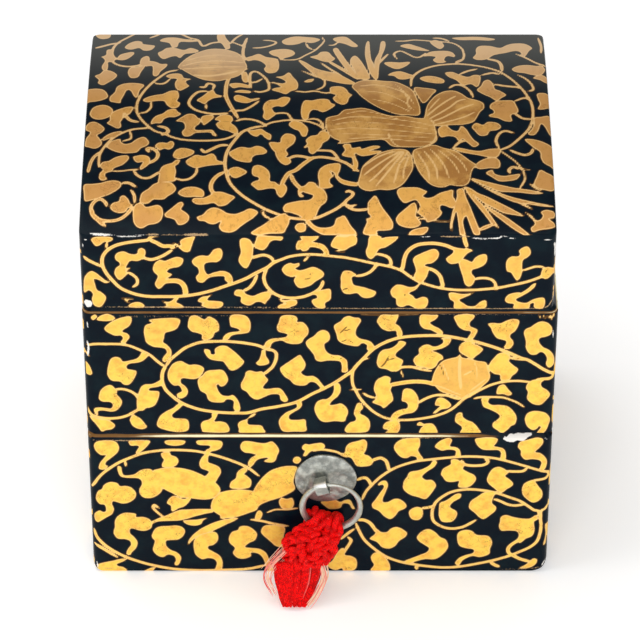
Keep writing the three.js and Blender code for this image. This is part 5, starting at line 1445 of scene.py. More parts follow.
# White marks: bare wear, and along the lid's arris and at its top left corner painted glints.
LID_BARE_AND_GLINTS = [
    (1.0, 90, 234.5, 98, 235, 104, 235.4, 112, 235.6),
    (0.8, 112, 235.6, 120, 236.3, 130, 236.3, 146, 235.6),
    (0.9, 470, 237, 480, 238.7, 490, 238.7, 500, 238), (0.7, 500, 237, 504, 236, 510, 238, 518, 239),
    (0.7, 543, 239.5, 554, 240.3), (1.0, 554.5, 244, 555.5, 250, 555, 258),
    (0.6, 417, 237.5, 425, 237, 430, 236.5), (0.8, 83.5, 239, 87, 240.5), (0.6, 82.5, 244, 82.8, 248),
]
# Brown lines along the lid's arris and its lower and right edges: partly rubbed wear, partly painted
# highlight lines.
LID_RUBS_AND_HIGHLIGHTS = [
    (0.8, 146, 235.6, 152, 235.3, 158, 235.1), (1.0, 183, 235.6, 190, 235.3, 200, 235.3, 208, 235.3),
    (0.5, 160, 235.4, 183, 235.5), (0.7, 440, 236.3, 455, 236.8, 470, 236.6),
    (0.75, 95, 306.4, 150, 307.0, 240, 307.6, 330, 308.2, 420, 308.5, 500, 308.8, 538, 308.5),
    (0.8, 536, 308.8, 545, 307.5, 551, 303, 554, 297, 555, 288, 555.5, 270, 555.5, 258),
]
bottom_kept = paint_piece(bottom_tier, bottom_points, (BOTTOM_VINES, BOTTOM_LEAVES, (), (), ()),
                          0.5, BOTTOM_HEIGHT - 1.3, 3)
middle_kept = paint_piece(middle_tier, middle_points,
                          (MIDDLE_VINES + MIDDLE_CRUMBS, MIDDLE_LEAVES, MIDDLE_BUDS, MIDDLE_VEINS,
                           MIDDLE_MARKS),
                          BOTTOM_HEIGHT + 0.5, LID_Z - 1.3, 4)
lid_kept = paint_piece(lid_piece, lid_points, (LID_VINES, LID_LEAVES, (), (), PEN_MARKS),
                       LID_Z + 0.5, ARRIS_Z - 0.5, 5)
on_roof = lid_points[:, 2] > ARRIS_Z + roof_height(lid_points[:, 1]) - ROOF_REACH
brush(lid_kept, on_roof, lid_points[on_roof][:, :2],
      (ROOF_VINES, ROOF_LEAVES + ROOF_BLADES, ROOF_PETALS, ROOF_VEINS, ROOF_LINES),
      from_roof, PIXEL_MM * ROOF_SCALE)
for kept, points, bare, chips, rubbed_and_highlit in (
        (bottom_kept, bottom_points, BOTTOM_BARE, BOTTOM_CHIPS, BOTTOM_RUBS),
        (middle_kept, middle_points, MIDDLE_BARE, (), MIDDLE_RUBS),
        (lid_kept, lid_points, LID_BARE_AND_GLINTS, LID_CHIPS, LID_RUBS_AND_HIGHLIGHTS)):
    round_corner = (points[:, 1] < FRONT_Y + WEAR_ROUND) & (points[:, 2] < ARRIS_Z - WEAR_BELOW)
    near_front = (points[:, 1] < FRONT_Y + WEAR_REACH) | round_corner
    wear(kept, near_front, points[near_front][:, [0, 2]], bare, chips, rubbed_and_highlit, from_front, PIXEL_MM)

# %% [markdown]
# The rims were gilded all round. How much gold is left depends on the place along the rim, so
# each rim has a short list of shares from left to right. A band of each slope under the piece above
# shows no gold, as painted shade, and the middle rim's shares keep it brown, as painted shade under
# the lid.
# %% Gilded rims
RIM_PLACES = (-50, -42, -34, -26, -17, 2, 14, 28, 34, 40, 50)
BOTTOM_GILT = (0.9, 1.0, 1.6, 1.9, 2.0, 2.0, 1.9, 1.5, 0.7, 0.3, 0.3)
# The middle rim's shares stay near one, so it shows brown: painted shade under the lid.
MIDDLE_SHADED_GILT = (1.2, 1.0, 0.95, 0.9, 0.9, 0.9, 0.9, 0.85, 0.85, 0.9, 1.3)
# How far down each slope the painted shade under the piece above reaches, and how it fades.
BOTTOM_RIM_SHADE = 0.56
MIDDLE_RIM_SHADE = 0.80
RIM_SHADE_FADE = 0.12
MARGIN = 0.05


def gilt(points, top, shares, shade_depth):
    """The gilding shown on a rim's slope: a share along x, and none in a band of painted shade under
    the piece above, down to the given depth. A share of two is bright leaf, and one is brown: rubbed
    leaf on the bottom rim, painted shade on the middle rim."""
    below = top - points[:, 2]
    on_slope = (below < RIM_SLOPE_HEIGHT - 0.02) & (below > -MARGIN)
    outside = ((np.abs(points[:, 0]) > BOX_WIDTH / 2 - RIM_WIDTH - MARGIN)
               | (np.abs(points[:, 1]) > BOX_DEPTH / 2 - RIM_WIDTH - MARGIN))
    # No gilding in the band of painted shade under the piece above.
    clear = np.clip((below - shade_depth) / RIM_SHADE_FADE, 0.0, 1.0)
    return np.interp(points[:, 0], RIM_PLACES, shares) * clear * (on_slope & outside)


bottom_kept["gilt"] = gilt(bottom_points, BOTTOM_HEIGHT, BOTTOM_GILT, BOTTOM_RIM_SHADE)
middle_kept["gilt"] = gilt(middle_points, LID_Z, MIDDLE_SHADED_GILT, MIDDLE_RIM_SHADE)
lid_kept["gilt"] = np.zeros(len(lid_points))
keep_all(bottom_tier, bottom_kept)
keep_all(middle_tier, middle_kept)
keep_all(lid_piece, lid_kept)

# %% [markdown]
# The plate is a shallow hammered dome, so its surface is drawn as rings of points with dents in
# them. The ring is cast: thick where it hangs free and worn thin where it turns in the eye. The
# staple keeps its shape from the solids.
# %% Plate and ring
PLATE_X = 1.2
PLATE_Z = 27.9
PLATE_RADIUS = 6.7
PLATE_EDGE = 0.6
PLATE_CROWN = 1.2
PLATE_SIDES = 168
DOME_SHARES = np.concatenate([np.linspace(0.03, 0.93, 58), [0.96, 0.98, 0.992, 1.0]])
EDGE_FALL = np.array([0.03, 0.08, 0.15, 0.24])
BACK_SHARES = np.array([1.0, 1.0, 0.9])
BACK_OUT = np.array([0.25, 0.02, 0.0])
BIG_DENTS = {"count": 26, "size": 1.1, "depth": 0.16, "seed": 11}
SMALL_DENTS = {"count": 150, "size": 0.28, "depth": 0.07, "seed": 12}
RING_RADIUS = 6.25
RING_OUT = 3.3
RING_STEPS = 160
WIRE_SIDES = 20
WIRE_THIN = 0.36
WIRE_GAIN = 0.40
WIRE_FLATNESS = 0.92
STAPLE_LEAN = math.radians(19)
RING_X = PLATE_X - 0.8 + RING_RADIUS * math.sin(STAPLE_LEAN)
RING_Z = PLATE_Z + 0.4 - RING_RADIUS * math.cos(STAPLE_LEAN)


def dents(x, z, count, size, depth, seed):
    """Shallow round dents: each lowers the surface by a bell of its distance."""
    chance = np.random.default_rng(seed)
    height = np.zeros_like(x)
    for _ in range(count):
        centre_x, centre_z = chance.uniform(-PLATE_RADIUS, PLATE_RADIUS, 2)
        wide = size * chance.uniform(0.6, 1.6)
        gap = (x - centre_x) ** 2 + (z - centre_z) ** 2
        height -= depth * chance.uniform(0.4, 1.0) * np.exp(-gap / wide ** 2)
    return height


def plate():
    """A disc whose height falls from the crown with the square of the radius, hammered."""
    shares = np.append(DOME_SHARES, BACK_SHARES)
    turn = np.linspace(0, 2 * math.pi, PLATE_SIDES, endpoint=False)
    radius = shares * PLATE_RADIUS
    wobble = 1 + 0.012 * np.cos(3 * turn + 1.0) + 0.006 * np.cos(7 * turn)
    x = radius[:, None] * np.cos(turn)[None] * wobble[None]
    z = radius[:, None] * np.sin(turn)[None] * wobble[None]
    out = PLATE_EDGE + (PLATE_CROWN - PLATE_EDGE) * (1 - shares ** 2)
    out = out[:, None] + dents(x, z, **BIG_DENTS) + dents(x, z, **SMALL_DENTS)
    back = len(DOME_SHARES)
    out[back - len(EDGE_FALL):back] -= EDGE_FALL[:, None]
    out[back:] = BACK_OUT[:, None]
    rings = np.stack([x + PLATE_X, FRONT_Y - out, z + PLATE_Z], axis=-1)
    middle = rings[0].mean(axis=0)
    piece, _ = shell("pull_plate_dressed", rings[:, ::-1], middle, (PLATE_X, FRONT_Y, PLATE_Z))
    return piece


def ring():
    """A round wire bent to a circle, its half width rising away from the eye."""
    turn = np.linspace(0, 2 * math.pi, RING_STEPS, endpoint=False)
    side = np.linspace(0, 2 * math.pi, WIRE_SIDES, endpoint=False)
    from_eye = np.abs((turn + STAPLE_LEAN + math.pi) % (2 * math.pi) - math.pi) / math.pi
    half = WIRE_THIN + WIRE_GAIN * np.clip(from_eye * 1.9, 0, 1) ** 0.9
    half = half - 0.06 * (np.sin(turn) > 0) * np.abs(np.sin(turn)) + 0.015 * np.sin(turn * 9)
    reach = RING_RADIUS + half[:, None] * np.cos(side)[None]
    x = RING_X + reach * np.sin(-turn)[:, None]
    z = RING_Z + reach * np.cos(turn)[:, None]
    y = FRONT_Y - RING_OUT + half[:, None] * WIRE_FLATNESS * np.sin(side)[None]
    points = np.stack([x, y, z], axis=-1).reshape(-1, 3)
    row = np.arange(RING_STEPS)[:, None] * WIRE_SIDES
    next_row = np.roll(row, -1, axis=0)
    column = np.arange(WIRE_SIDES)[None]
    after = np.roll(column, -1, axis=1)
    faces = np.stack([row + column, row + after, next_row + after, next_row + column], axis=-1)
    return new_mesh("pull_ring_dressed", points, faces.reshape(-1, 4))


plate_piece = plate()
ring_piece = ring()
for piece, node in ((plate_piece, "pull_plate"), (ring_piece, "pull_ring")):
    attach(piece, "root")
    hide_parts(node)

# %% [markdown]
# The tassel is made of cord. Every cord is two strands wound round a path, and each strand is a
# tube: rings of points across the path, turned by a fixed direction. Four cords loop over the
# ring, short crossing turns make the knotted head, and a few hundred fine threads fall from it.
# %% Tubes along paths
HEAD = np.array([-2.3, -5.3, 12.7])
HEAD_HALF = np.array([4.9, 3.5, 6.2])
HEAD_LEAN = math.radians(-30)
FRINGE_START = np.array([-4.8, -6.2, 7.6])
FRINGE_END = np.array([-5.6, -12.2, 0.7])
PLY_REACH = 0.47
PLY_HALF = 0.56
TABLE_GAP = 0.05
WALL_GAP = 0.1


def unit(vectors):
    """Arrows of the same direction, one long."""
    return vectors / np.maximum(np.linalg.norm(vectors, axis=-1, keepdims=True), TINY)


def frame_along(paths, reference):
    """Two directions square to each path, the first also square to the reference."""
    tangent = unit(np.gradient(paths, axis=1))
    across = unit(np.cross(tangent, np.broadcast_to(reference, paths.shape)))
    return across, np.cross(tangent, across)


def tubes(paths, radius, reference, sides):
    """Closed tubes round many paths at once.

    paths has a row for each tube, radius a half width for each place; each tube ends in a fan
    at both ends. Gives points and faces.
    """
    count, steps, _ = paths.shape
    across, beside = frame_along(paths, reference)
    turn = np.arange(sides) / sides * 2 * math.pi
    offset = (np.cos(turn)[None, None, :, None] * across[:, :, None]
              + np.sin(turn)[None, None, :, None] * beside[:, :, None])
    rings = paths[:, :, None] + offset * radius[:, :, None, None]
    points = np.concatenate([rings.reshape(count, -1, 3), paths[:, :1], paths[:, -1:]], axis=1)
    quads, fans = capped_faces(steps, sides)
    shift = (np.arange(count) * points.shape[1])[:, None, None]
    quads = (quads[None] + shift).reshape(-1, 4).tolist()
    fans = (fans[None] + shift).reshape(-1, 3).tolist()
    return points.reshape(-1, 3), quads + fans


def wound(paths, radius, reference, turns_per_mm, plies=2):
    """Cords as plies wound round each path: each ply circles at half the cord's half width."""
    length = np.cumsum(np.linalg.norm(np.diff(paths, axis=1, prepend=paths[:, :1]), axis=2), axis=1)
    across, beside = frame_along(paths, reference)
    strands = []
    for ply in range(plies):
        angle = length * turns_per_mm * 2 * math.pi + ply * 2 * math.pi / plies
        strands.append(paths + radius[:, :, None] * PLY_REACH * (np.cos(angle)[..., None] * across
                                                                 + np.sin(angle)[..., None] * beside))
    return np.concatenate(strands), np.concatenate([radius * PLY_HALF] * plies)


def tassel_piece(name, points, faces, shade=None):
    """A piece of the tassel, in box coordinates, with a kept shade for each point."""
    points = points + np.array([0.0, FRONT_Y, 0.0])
    points[:, 2] = np.maximum(points[:, 2], TABLE_GAP)
    points[:, 1] = np.minimum(points[:, 1], FRONT_Y - WALL_GAP)
    piece = new_mesh(name, points, faces, sharp=math.pi)
    keep(piece, "shade", np.zeros(len(points)) if shade is None else shade)
    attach(piece, "root")
    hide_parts("tassel")
    print(name, "has", len(faces), "faces")
    return piece


# %% [markdown]
# Two pairs of cords come up behind the ring, turn over its wire and go down into the head. The
# head is a leaning ball hidden under short arcs of cord that cross each other row by row.
# %% Cord loops and knotted head
CORD_RADIUS = 1.25
CORD_APART = 0.95
LOOP_REFERENCE = np.array([1.0, 0.0, 0.4])
TURN_REFERENCE = np.array([0.0, -1.0, 0.0])
TURN_RADIUS = 1.05
TURN_ROWS = 6
TURN_COLUMNS = 5
BALL_ROWS = 20
BALL_SIDES = 24
BALL_SIZE = 0.80
LOOP_ANGLES = (math.radians(40), math.radians(-4))


def loop_path(angle, sideways):
    """A path up behind the ring's wire, over it and down in front into the head."""
    inward = np.array([math.sin(angle), 0.0, math.cos(angle)])
    along_wire = np.array([math.cos(angle), 0.0, -math.sin(angle)])
    wire = np.array([RING_X, -RING_OUT, RING_Z]) - inward * RING_RADIUS + along_wire * sideways
    out = np.array([0.0, -1.0, 0.0])
    clear = 0.8 + CORD_RADIUS * 0.85
    tail = wire * 0.45 + HEAD * 0.55
    stations_in = [tail - out * 1.0, wire - out * clear, wire + inward * 2.3 - out * clear * 0.6,
                   wire + inward * 3.0 + out * clear * 0.2, wire + inward * 1.9 + out * clear,
                   wire + out * (clear + 0.4), tail + out * 3.2, tail + out * 1.2 - inward * 2.5]
    return curve_through(stations_in, closed=False, steps=8)


def head_place(across, up, proud):
    """A place on the leaning head from two numbers between -1 and 1."""
    girth = np.sqrt(np.clip(1 - up ** 2, 0.0, 1.0))
    local_x = HEAD_HALF[0] * np.sin(across * math.pi / 2) * girth * proud
    local_y = -HEAD_HALF[1] * np.cos(across * math.pi / 2) * girth * proud
    local_z = HEAD_HALF[2] * up * proud
    return np.stack([
        HEAD[0] + local_x * math.cos(HEAD_LEAN) + local_z * math.sin(-HEAD_LEAN),
        HEAD[1] + local_y,
        HEAD[2] + local_x * math.sin(HEAD_LEAN) + local_z * math.cos(HEAD_LEAN),
    ], axis=-1)


def head_turns():
    """Short arcs of cord that cross over the head, each dipping in at both ends."""
    chance = np.random.default_rng(21)
    share = np.linspace(-1, 1, 20)
    paths = []
    for row in range(TURN_ROWS):
        for column in range(TURN_COLUMNS):
            across = (column + 0.5 * (row % 2) + 0.25) / TURN_COLUMNS * 2 - 1
            across += chance.uniform(-0.05, 0.05)
            up = (row + 0.5) / TURN_ROWS * 1.8 - 0.9 + chance.uniform(-0.04, 0.04)
            slant = (1 if (row + column) % 2 else -1) * chance.uniform(0.10, 0.22)
            arch = 0.82 + 0.26 * (1 - share ** 2) * chance.uniform(0.75, 1.1)
            rising = np.clip(up + 0.26 * share, -0.97, 0.97)
            paths.append(head_place(across + slant * share, rising, arch))
    return np.array(paths)


def path_lengths(paths):
    """The length of each path in millimetres."""
    return np.linalg.norm(np.diff(paths, axis=1), axis=2).sum(axis=1).round(1)


def cords():
    """The loops and the turns of the head, wound from two plies."""
    loops = np.array([loop_path(angle, side * CORD_APART) for angle in LOOP_ANGLES for side in (-1, 1)])
    turns = head_turns()
    print("the loops of cord are", path_lengths(loops), "mm long")
    steps = turns.shape[1]
    loop_steps = loops.shape[1]
    end = np.minimum(1.0, 0.5 + 0.2 * np.minimum(np.arange(steps), np.arange(steps)[::-1]))
    loop_lines, loop_radii = wound(loops, np.full((len(loops), loop_steps), CORD_RADIUS),
                                   LOOP_REFERENCE, 0.16)
    turn_lines, turn_radii = wound(turns, np.tile(end * TURN_RADIUS, (len(turns), 1)),
                                   TURN_REFERENCE, 0.22)
    first, first_faces = tubes(loop_lines, loop_radii, LOOP_REFERENCE, 10)
    second, second_faces = tubes(turn_lines, turn_radii, TURN_REFERENCE, 9)
    ball_turn = np.linspace(-2, 2, BALL_SIDES, endpoint=False)
    ball = np.array([head_place(ball_turn, up, BALL_SIZE)
                     for up in np.linspace(-0.98, 0.98, BALL_ROWS)])
    ball_faces, fans = capped_faces(BALL_ROWS, BALL_SIDES)
    ends = np.array([ball[0].mean(axis=0), ball[-1].mean(axis=0)])
    ball_points = np.vstack([ball.reshape(-1, 3), ends])
    points = np.vstack([first, second, ball_points])
    faces = first_faces
    faces = faces + [[index + len(first) for index in face] for face in second_faces]
    base = len(first) + len(second)
    faces += (ball_faces + base).tolist() + (fans + base).tolist()
    return tassel_piece("tassel_cords", points, faces)


cord_piece = cords()

# %% [markdown]
# The threads start spread over the foot of the head and draw together towards the table, where
# the fringe lies almost flat. A cream strip shows at its right edge, and some pale threads stray
# to the left.
# %% Fringe
THREADS = 560
THREAD_STEPS = 16
THREAD_HALF = 0.21
THREAD_TIP = (0.95, 0.85, 0.7, 0.45)
ROOT_HALF = (5.2, 2.8)
TIP_HALF = (2.3, 0.7)
CREAM_THREADS = 46
CREAM_HALF = 0.10
STRAY_THREADS = 16
WISP_THREADS = 14
STRAY_HALF = 0.07
CREAM_CURVE = [(0.4, -7.0, 8.8), (0.9, -8.2, 6.0), (-0.7, -10.2, 3.2), (-2.6, -11.6, 1.0)]
STRAY_CURVE = [(-8.8, -6.4, 10.4), (-10.9, -7.4, 8.0), (-11.4, -8.8, 5.6), (-9.7, -10.6, 2.8)]
WISP_CURVE = [(-7.6, -6.6, 13.4), (-9.4, -7.4, 11.8), (-10.8, -8.0, 10.6), (-11.6, -8.6, 9.8)]


def fringe():
    """Threads from the head's foot to the tip: start and end places come from the same spot in
    a round bundle, and the path bows, narrows and waves a little between them."""
    chance = np.random.default_rng(5)
    angle = chance.uniform(0, 2 * math.pi, THREADS)
    far = np.sqrt(chance.uniform(0.25, 1.0, THREADS))
    across = far * np.cos(angle)
    thick = far * np.sin(angle)
    share = np.linspace(0, 1, THREAD_STEPS)[None]
    reach = chance.uniform(0.78, 1.0, THREADS)[:, None]
    along = share * reach
    half_x = ROOT_HALF[0] + (TIP_HALF[0] - ROOT_HALF[0]) * along ** 1.5
    half_out = ROOT_HALF[1] + (TIP_HALF[1] - ROOT_HALF[1]) * along
    ripple = 0.16 * np.sin(along * 9 + angle[:, None] * 5) * share
    x = FRINGE_START[0] + (FRINGE_END[0] - FRINGE_START[0]) * along + across[:, None] * half_x + ripple
    y = FRINGE_START[1] + (FRINGE_END[1] - FRINGE_START[1]) * along - thick[:, None] * half_out * 0.8
    z = (FRINGE_START[2] + (FRINGE_END[2] - FRINGE_START[2]) * along ** 0.8
         + thick[:, None] * half_out * 0.6)
    z = z + 1.2 * np.exp(-along * 8)
    main = np.stack([x, y, z], axis=-1)
    print("the threads are", path_lengths(main).min(), "to", path_lengths(main).max(), "mm long")
    cream = edge_bundle(chance, CREAM_THREADS, CREAM_CURVE, 0.55)
    stray = edge_bundle(chance, STRAY_THREADS, STRAY_CURVE, 0.75)
    wisps = edge_bundle(chance, WISP_THREADS, WISP_CURVE, 1.1)
    paths = np.concatenate([main, cream, stray, wisps])
    shade = np.concatenate([chance.uniform(0, 0.25, THREADS),
                            chance.uniform(0.6, 1.0, CREAM_THREADS),
                            chance.uniform(0.35, 1.0, STRAY_THREADS),
                            chance.uniform(0.3, 0.8, WISP_THREADS)])
    # A few red threads are made pink, as painted glints.
    shade[:THREADS][chance.uniform(0, 1, THREADS) > 0.985] = 0.4
    taper = np.concatenate([np.ones(THREAD_STEPS - len(THREAD_TIP)), THREAD_TIP])
    size = np.concatenate([np.full(THREADS, THREAD_HALF), np.full(CREAM_THREADS, CREAM_HALF),
                           np.full(STRAY_THREADS + WISP_THREADS, STRAY_HALF)])
    points, faces = tubes(paths, size[:, None] * taper[None], np.array([1.0, 0.2, 0.0]), 5)
    per_thread = len(points) // len(paths)
    return tassel_piece("tassel_fringe", points, faces, np.repeat(shade, per_thread))


def edge_bundle(chance, count, middle, spread):
    """Threads that follow one curve side by side, each a little off it."""
    curve = curve_through(middle, closed=False, steps=5)
    shift = chance.normal(0, spread, (count, 1, 3)) * np.array([1.0, 0.5, 0.4])
    drift = chance.normal(0, spread * 0.5, (count, 1, 3))
    share = np.linspace(0, 1, len(curve))[None, :, None]
    return curve[None] + shift * (1 - 0.5 * share) + drift * share


fringe_piece = fringe()

# %% [markdown]
# A material is a little graph of nodes. Here its sums are written as plain expressions: a small
# class wraps a socket, and each operator adds the Math node that does it.
# %% Writing shader sums


class Value:
    """A socket that can be added, multiplied and compared like a number."""

    def __init__(self, nodes, socket):
        self.nodes = nodes
        self.socket = socket

    def _math(self, operation, *others):
        return self.nodes.math(operation, self, *others)

    def __add__(self, other):
        return self._math("ADD", other)

    __radd__ = __add__

    def __mul__(self, other):
        return self._math("MULTIPLY", other)

    __rmul__ = __mul__

    def __sub__(self, other):
        return self._math("SUBTRACT", other)

    def __rsub__(self, other):
        return self.nodes.math("SUBTRACT", other, self)


class Nodes:
    """The node tree of one material, with its surface shader."""

    def __init__(self, name):
        self.material = bpy.data.materials.new(name)
        self.material.use_nodes = True
        self.tree = self.material.node_tree
        self.tree.nodes.clear()
        output = self.tree.nodes.new("ShaderNodeOutputMaterial")
        self.surface = self.tree.nodes.new("ShaderNodeBsdfPrincipled")
        self.tree.links.new(self.surface.outputs["BSDF"], output.inputs["Surface"])

    def feed(self, socket, value):
        """Puts a number, colour or link into a socket."""
        if isinstance(value, Value):
            self.tree.links.new(value.socket, socket)
        elif isinstance(value, tuple) and len(value) == 3 and socket.type == "RGBA":
            socket.default_value = (*value, 1.0)
        else:
            socket.default_value = value

    def add(self, kind, output, settings=None, **inputs):
        """Adds a node: its settings first, then its inputs, and gives back one output."""
        node = self.tree.nodes.new(kind)
        for name, value in (settings or {}).items():
            setattr(node, name, value)
        for name, value in inputs.items():
            key = int(name[1:]) if name[0] == "i" and name[1:].isdigit() else name.replace("_", " ")
            self.feed(node.inputs[key], value)
        return Value(self, node.outputs[output])

    def math(self, operation, *values):
        inputs = {f"i{index}": value for index, value in enumerate(values)}
        return self.add("ShaderNodeMath", "Value", {"operation": operation}, **inputs)

    def place(self, stretch=(1.0, 1.0, 1.0)):
        """Object coordinates in millimetres, stretched along each axis."""
        here = self.add("ShaderNodeTexCoord", "Object")
        scale = tuple(part / MM for part in stretch)
        return self.add("ShaderNodeMapping", "Vector", Vector=here, Scale=scale)

    def noise(self, size, detail=3.0, stretch=(1.0, 1.0, 1.0), roughness=0.55):
        """Cloudy values round 0.5, with features of a size in millimetres."""
        return self.add("ShaderNodeTexNoise", "Fac", Vector=self.place(stretch),
                        Scale=1.0 / size, Detail=detail, Roughness=roughness)

    def axis(self, name):
        """One Object coordinate in millimetres, named X, Y or Z."""
        return self.add("ShaderNodeSeparateXYZ", name, Vector=self.place())

    def height(self):
        """The height above the table in millimetres."""
        return self.axis("Z")

    def kept(self, name):
        """A number stored in the points."""
        return self.add("ShaderNodeAttribute", "Fac", {"attribute_name": name})

    def step(self, value, low, high):
        """0 below low, 1 above high, smooth between."""
        return self.add("ShaderNodeMapRange", "Result", {"interpolation_type": "SMOOTHSTEP"},
                        Value=value, From_Min=low, From_Max=high)

    def mix(self, factor, first, second):
        """A colour between two, by a factor."""
        return self.add("ShaderNodeMix", 2, {"data_type": "RGBA"}, i0=factor, i6=first, i7=second)

    def bump(self, height, distance_mm, strength=1.0):
        """A normal from a height."""
        return self.add("ShaderNodeBump", "Normal", Height=height, Distance=distance_mm * MM,
                        Strength=strength)

    def finish(self, **inputs):
        """Feeds the surface shader and returns the material."""
        for name, value in inputs.items():
            self.feed(self.surface.inputs[name.replace("_", " ")], value)
        return self.material


# %% [markdown]
# The lacquer is nearly black with a blue-green depth and a soft gloss. Over it the gold is laid:
# a mottled yellow fill, a paler rim where the brush left more powder, and a thin brown line round it
# that is a painted shadow line. On the roof the gold is painted browner as shade, and a grey painted
# reflection lies towards the back. The sloping rims were gilded too and have rubbed to brown in
# places; the black band under each piece above and the middle rim's brown are painted shade.
# %% Lacquer and gold
LACQUER = (0.0015, 0.005, 0.010)
LACQUER_GREEN = (0.003, 0.010, 0.015)
GOLD_FILL = (0.98, 0.64, 0.10)
GOLD_ORANGE = (0.86, 0.43, 0.07)
GOLD_DEEP = (0.80, 0.42, 0.10)
GOLD_PALE = (0.93, 0.60, 0.22)
# Brown of the drawn lines, and of the painted shadow line round the gold.
GOLD_BROWN = (0.10, 0.045, 0.012)
ROOF_ROSE = (0.50, 0.24, 0.09)
BUD_BROWN = (0.72, 0.38, 0.10)
# The roof's gold and pale gold, browner than the front's: painted shade.
ROOF_SHADED_GOLD = (0.74, 0.38, 0.09)
ROOF_SHADED_PALE = (0.86, 0.55, 0.24)
CRACK_BROWN = (0.22, 0.09, 0.02)
# Painted reflection on the back of the roof: where it starts and where it is full, in mm along y, then its
# grey over the lacquer and its pale gold over the gold.
REFLECTION_START = 4.0
REFLECTION_FULL = 33.0
REFLECTION_GREY = (0.10, 0.10, 0.09)
REFLECTION_GOLD = (0.98, 0.70, 0.42)
TARNISH = (0.50, 0.24, 0.05)
PETAL_BROWN = (0.40, 0.18, 0.045)
PETAL_GOLD = (0.66, 0.36, 0.10)
RIM_GOLD = (1.0, 0.94, 0.60)
# Brown of the rims: rubbed leaf on the bottom rim, painted shade on the middle rim.
RIM_BROWN_RUBBED_AND_SHADED = (0.20, 0.09, 0.022)
# Brown of rubbed edges and of painted highlight lines; white of bare wear and of painted glints.
RUB_AND_HIGHLIGHT_BROWN = (0.50, 0.33, 0.17)
BARE_AND_GLINT_WHITE = (0.90, 0.86, 0.80)


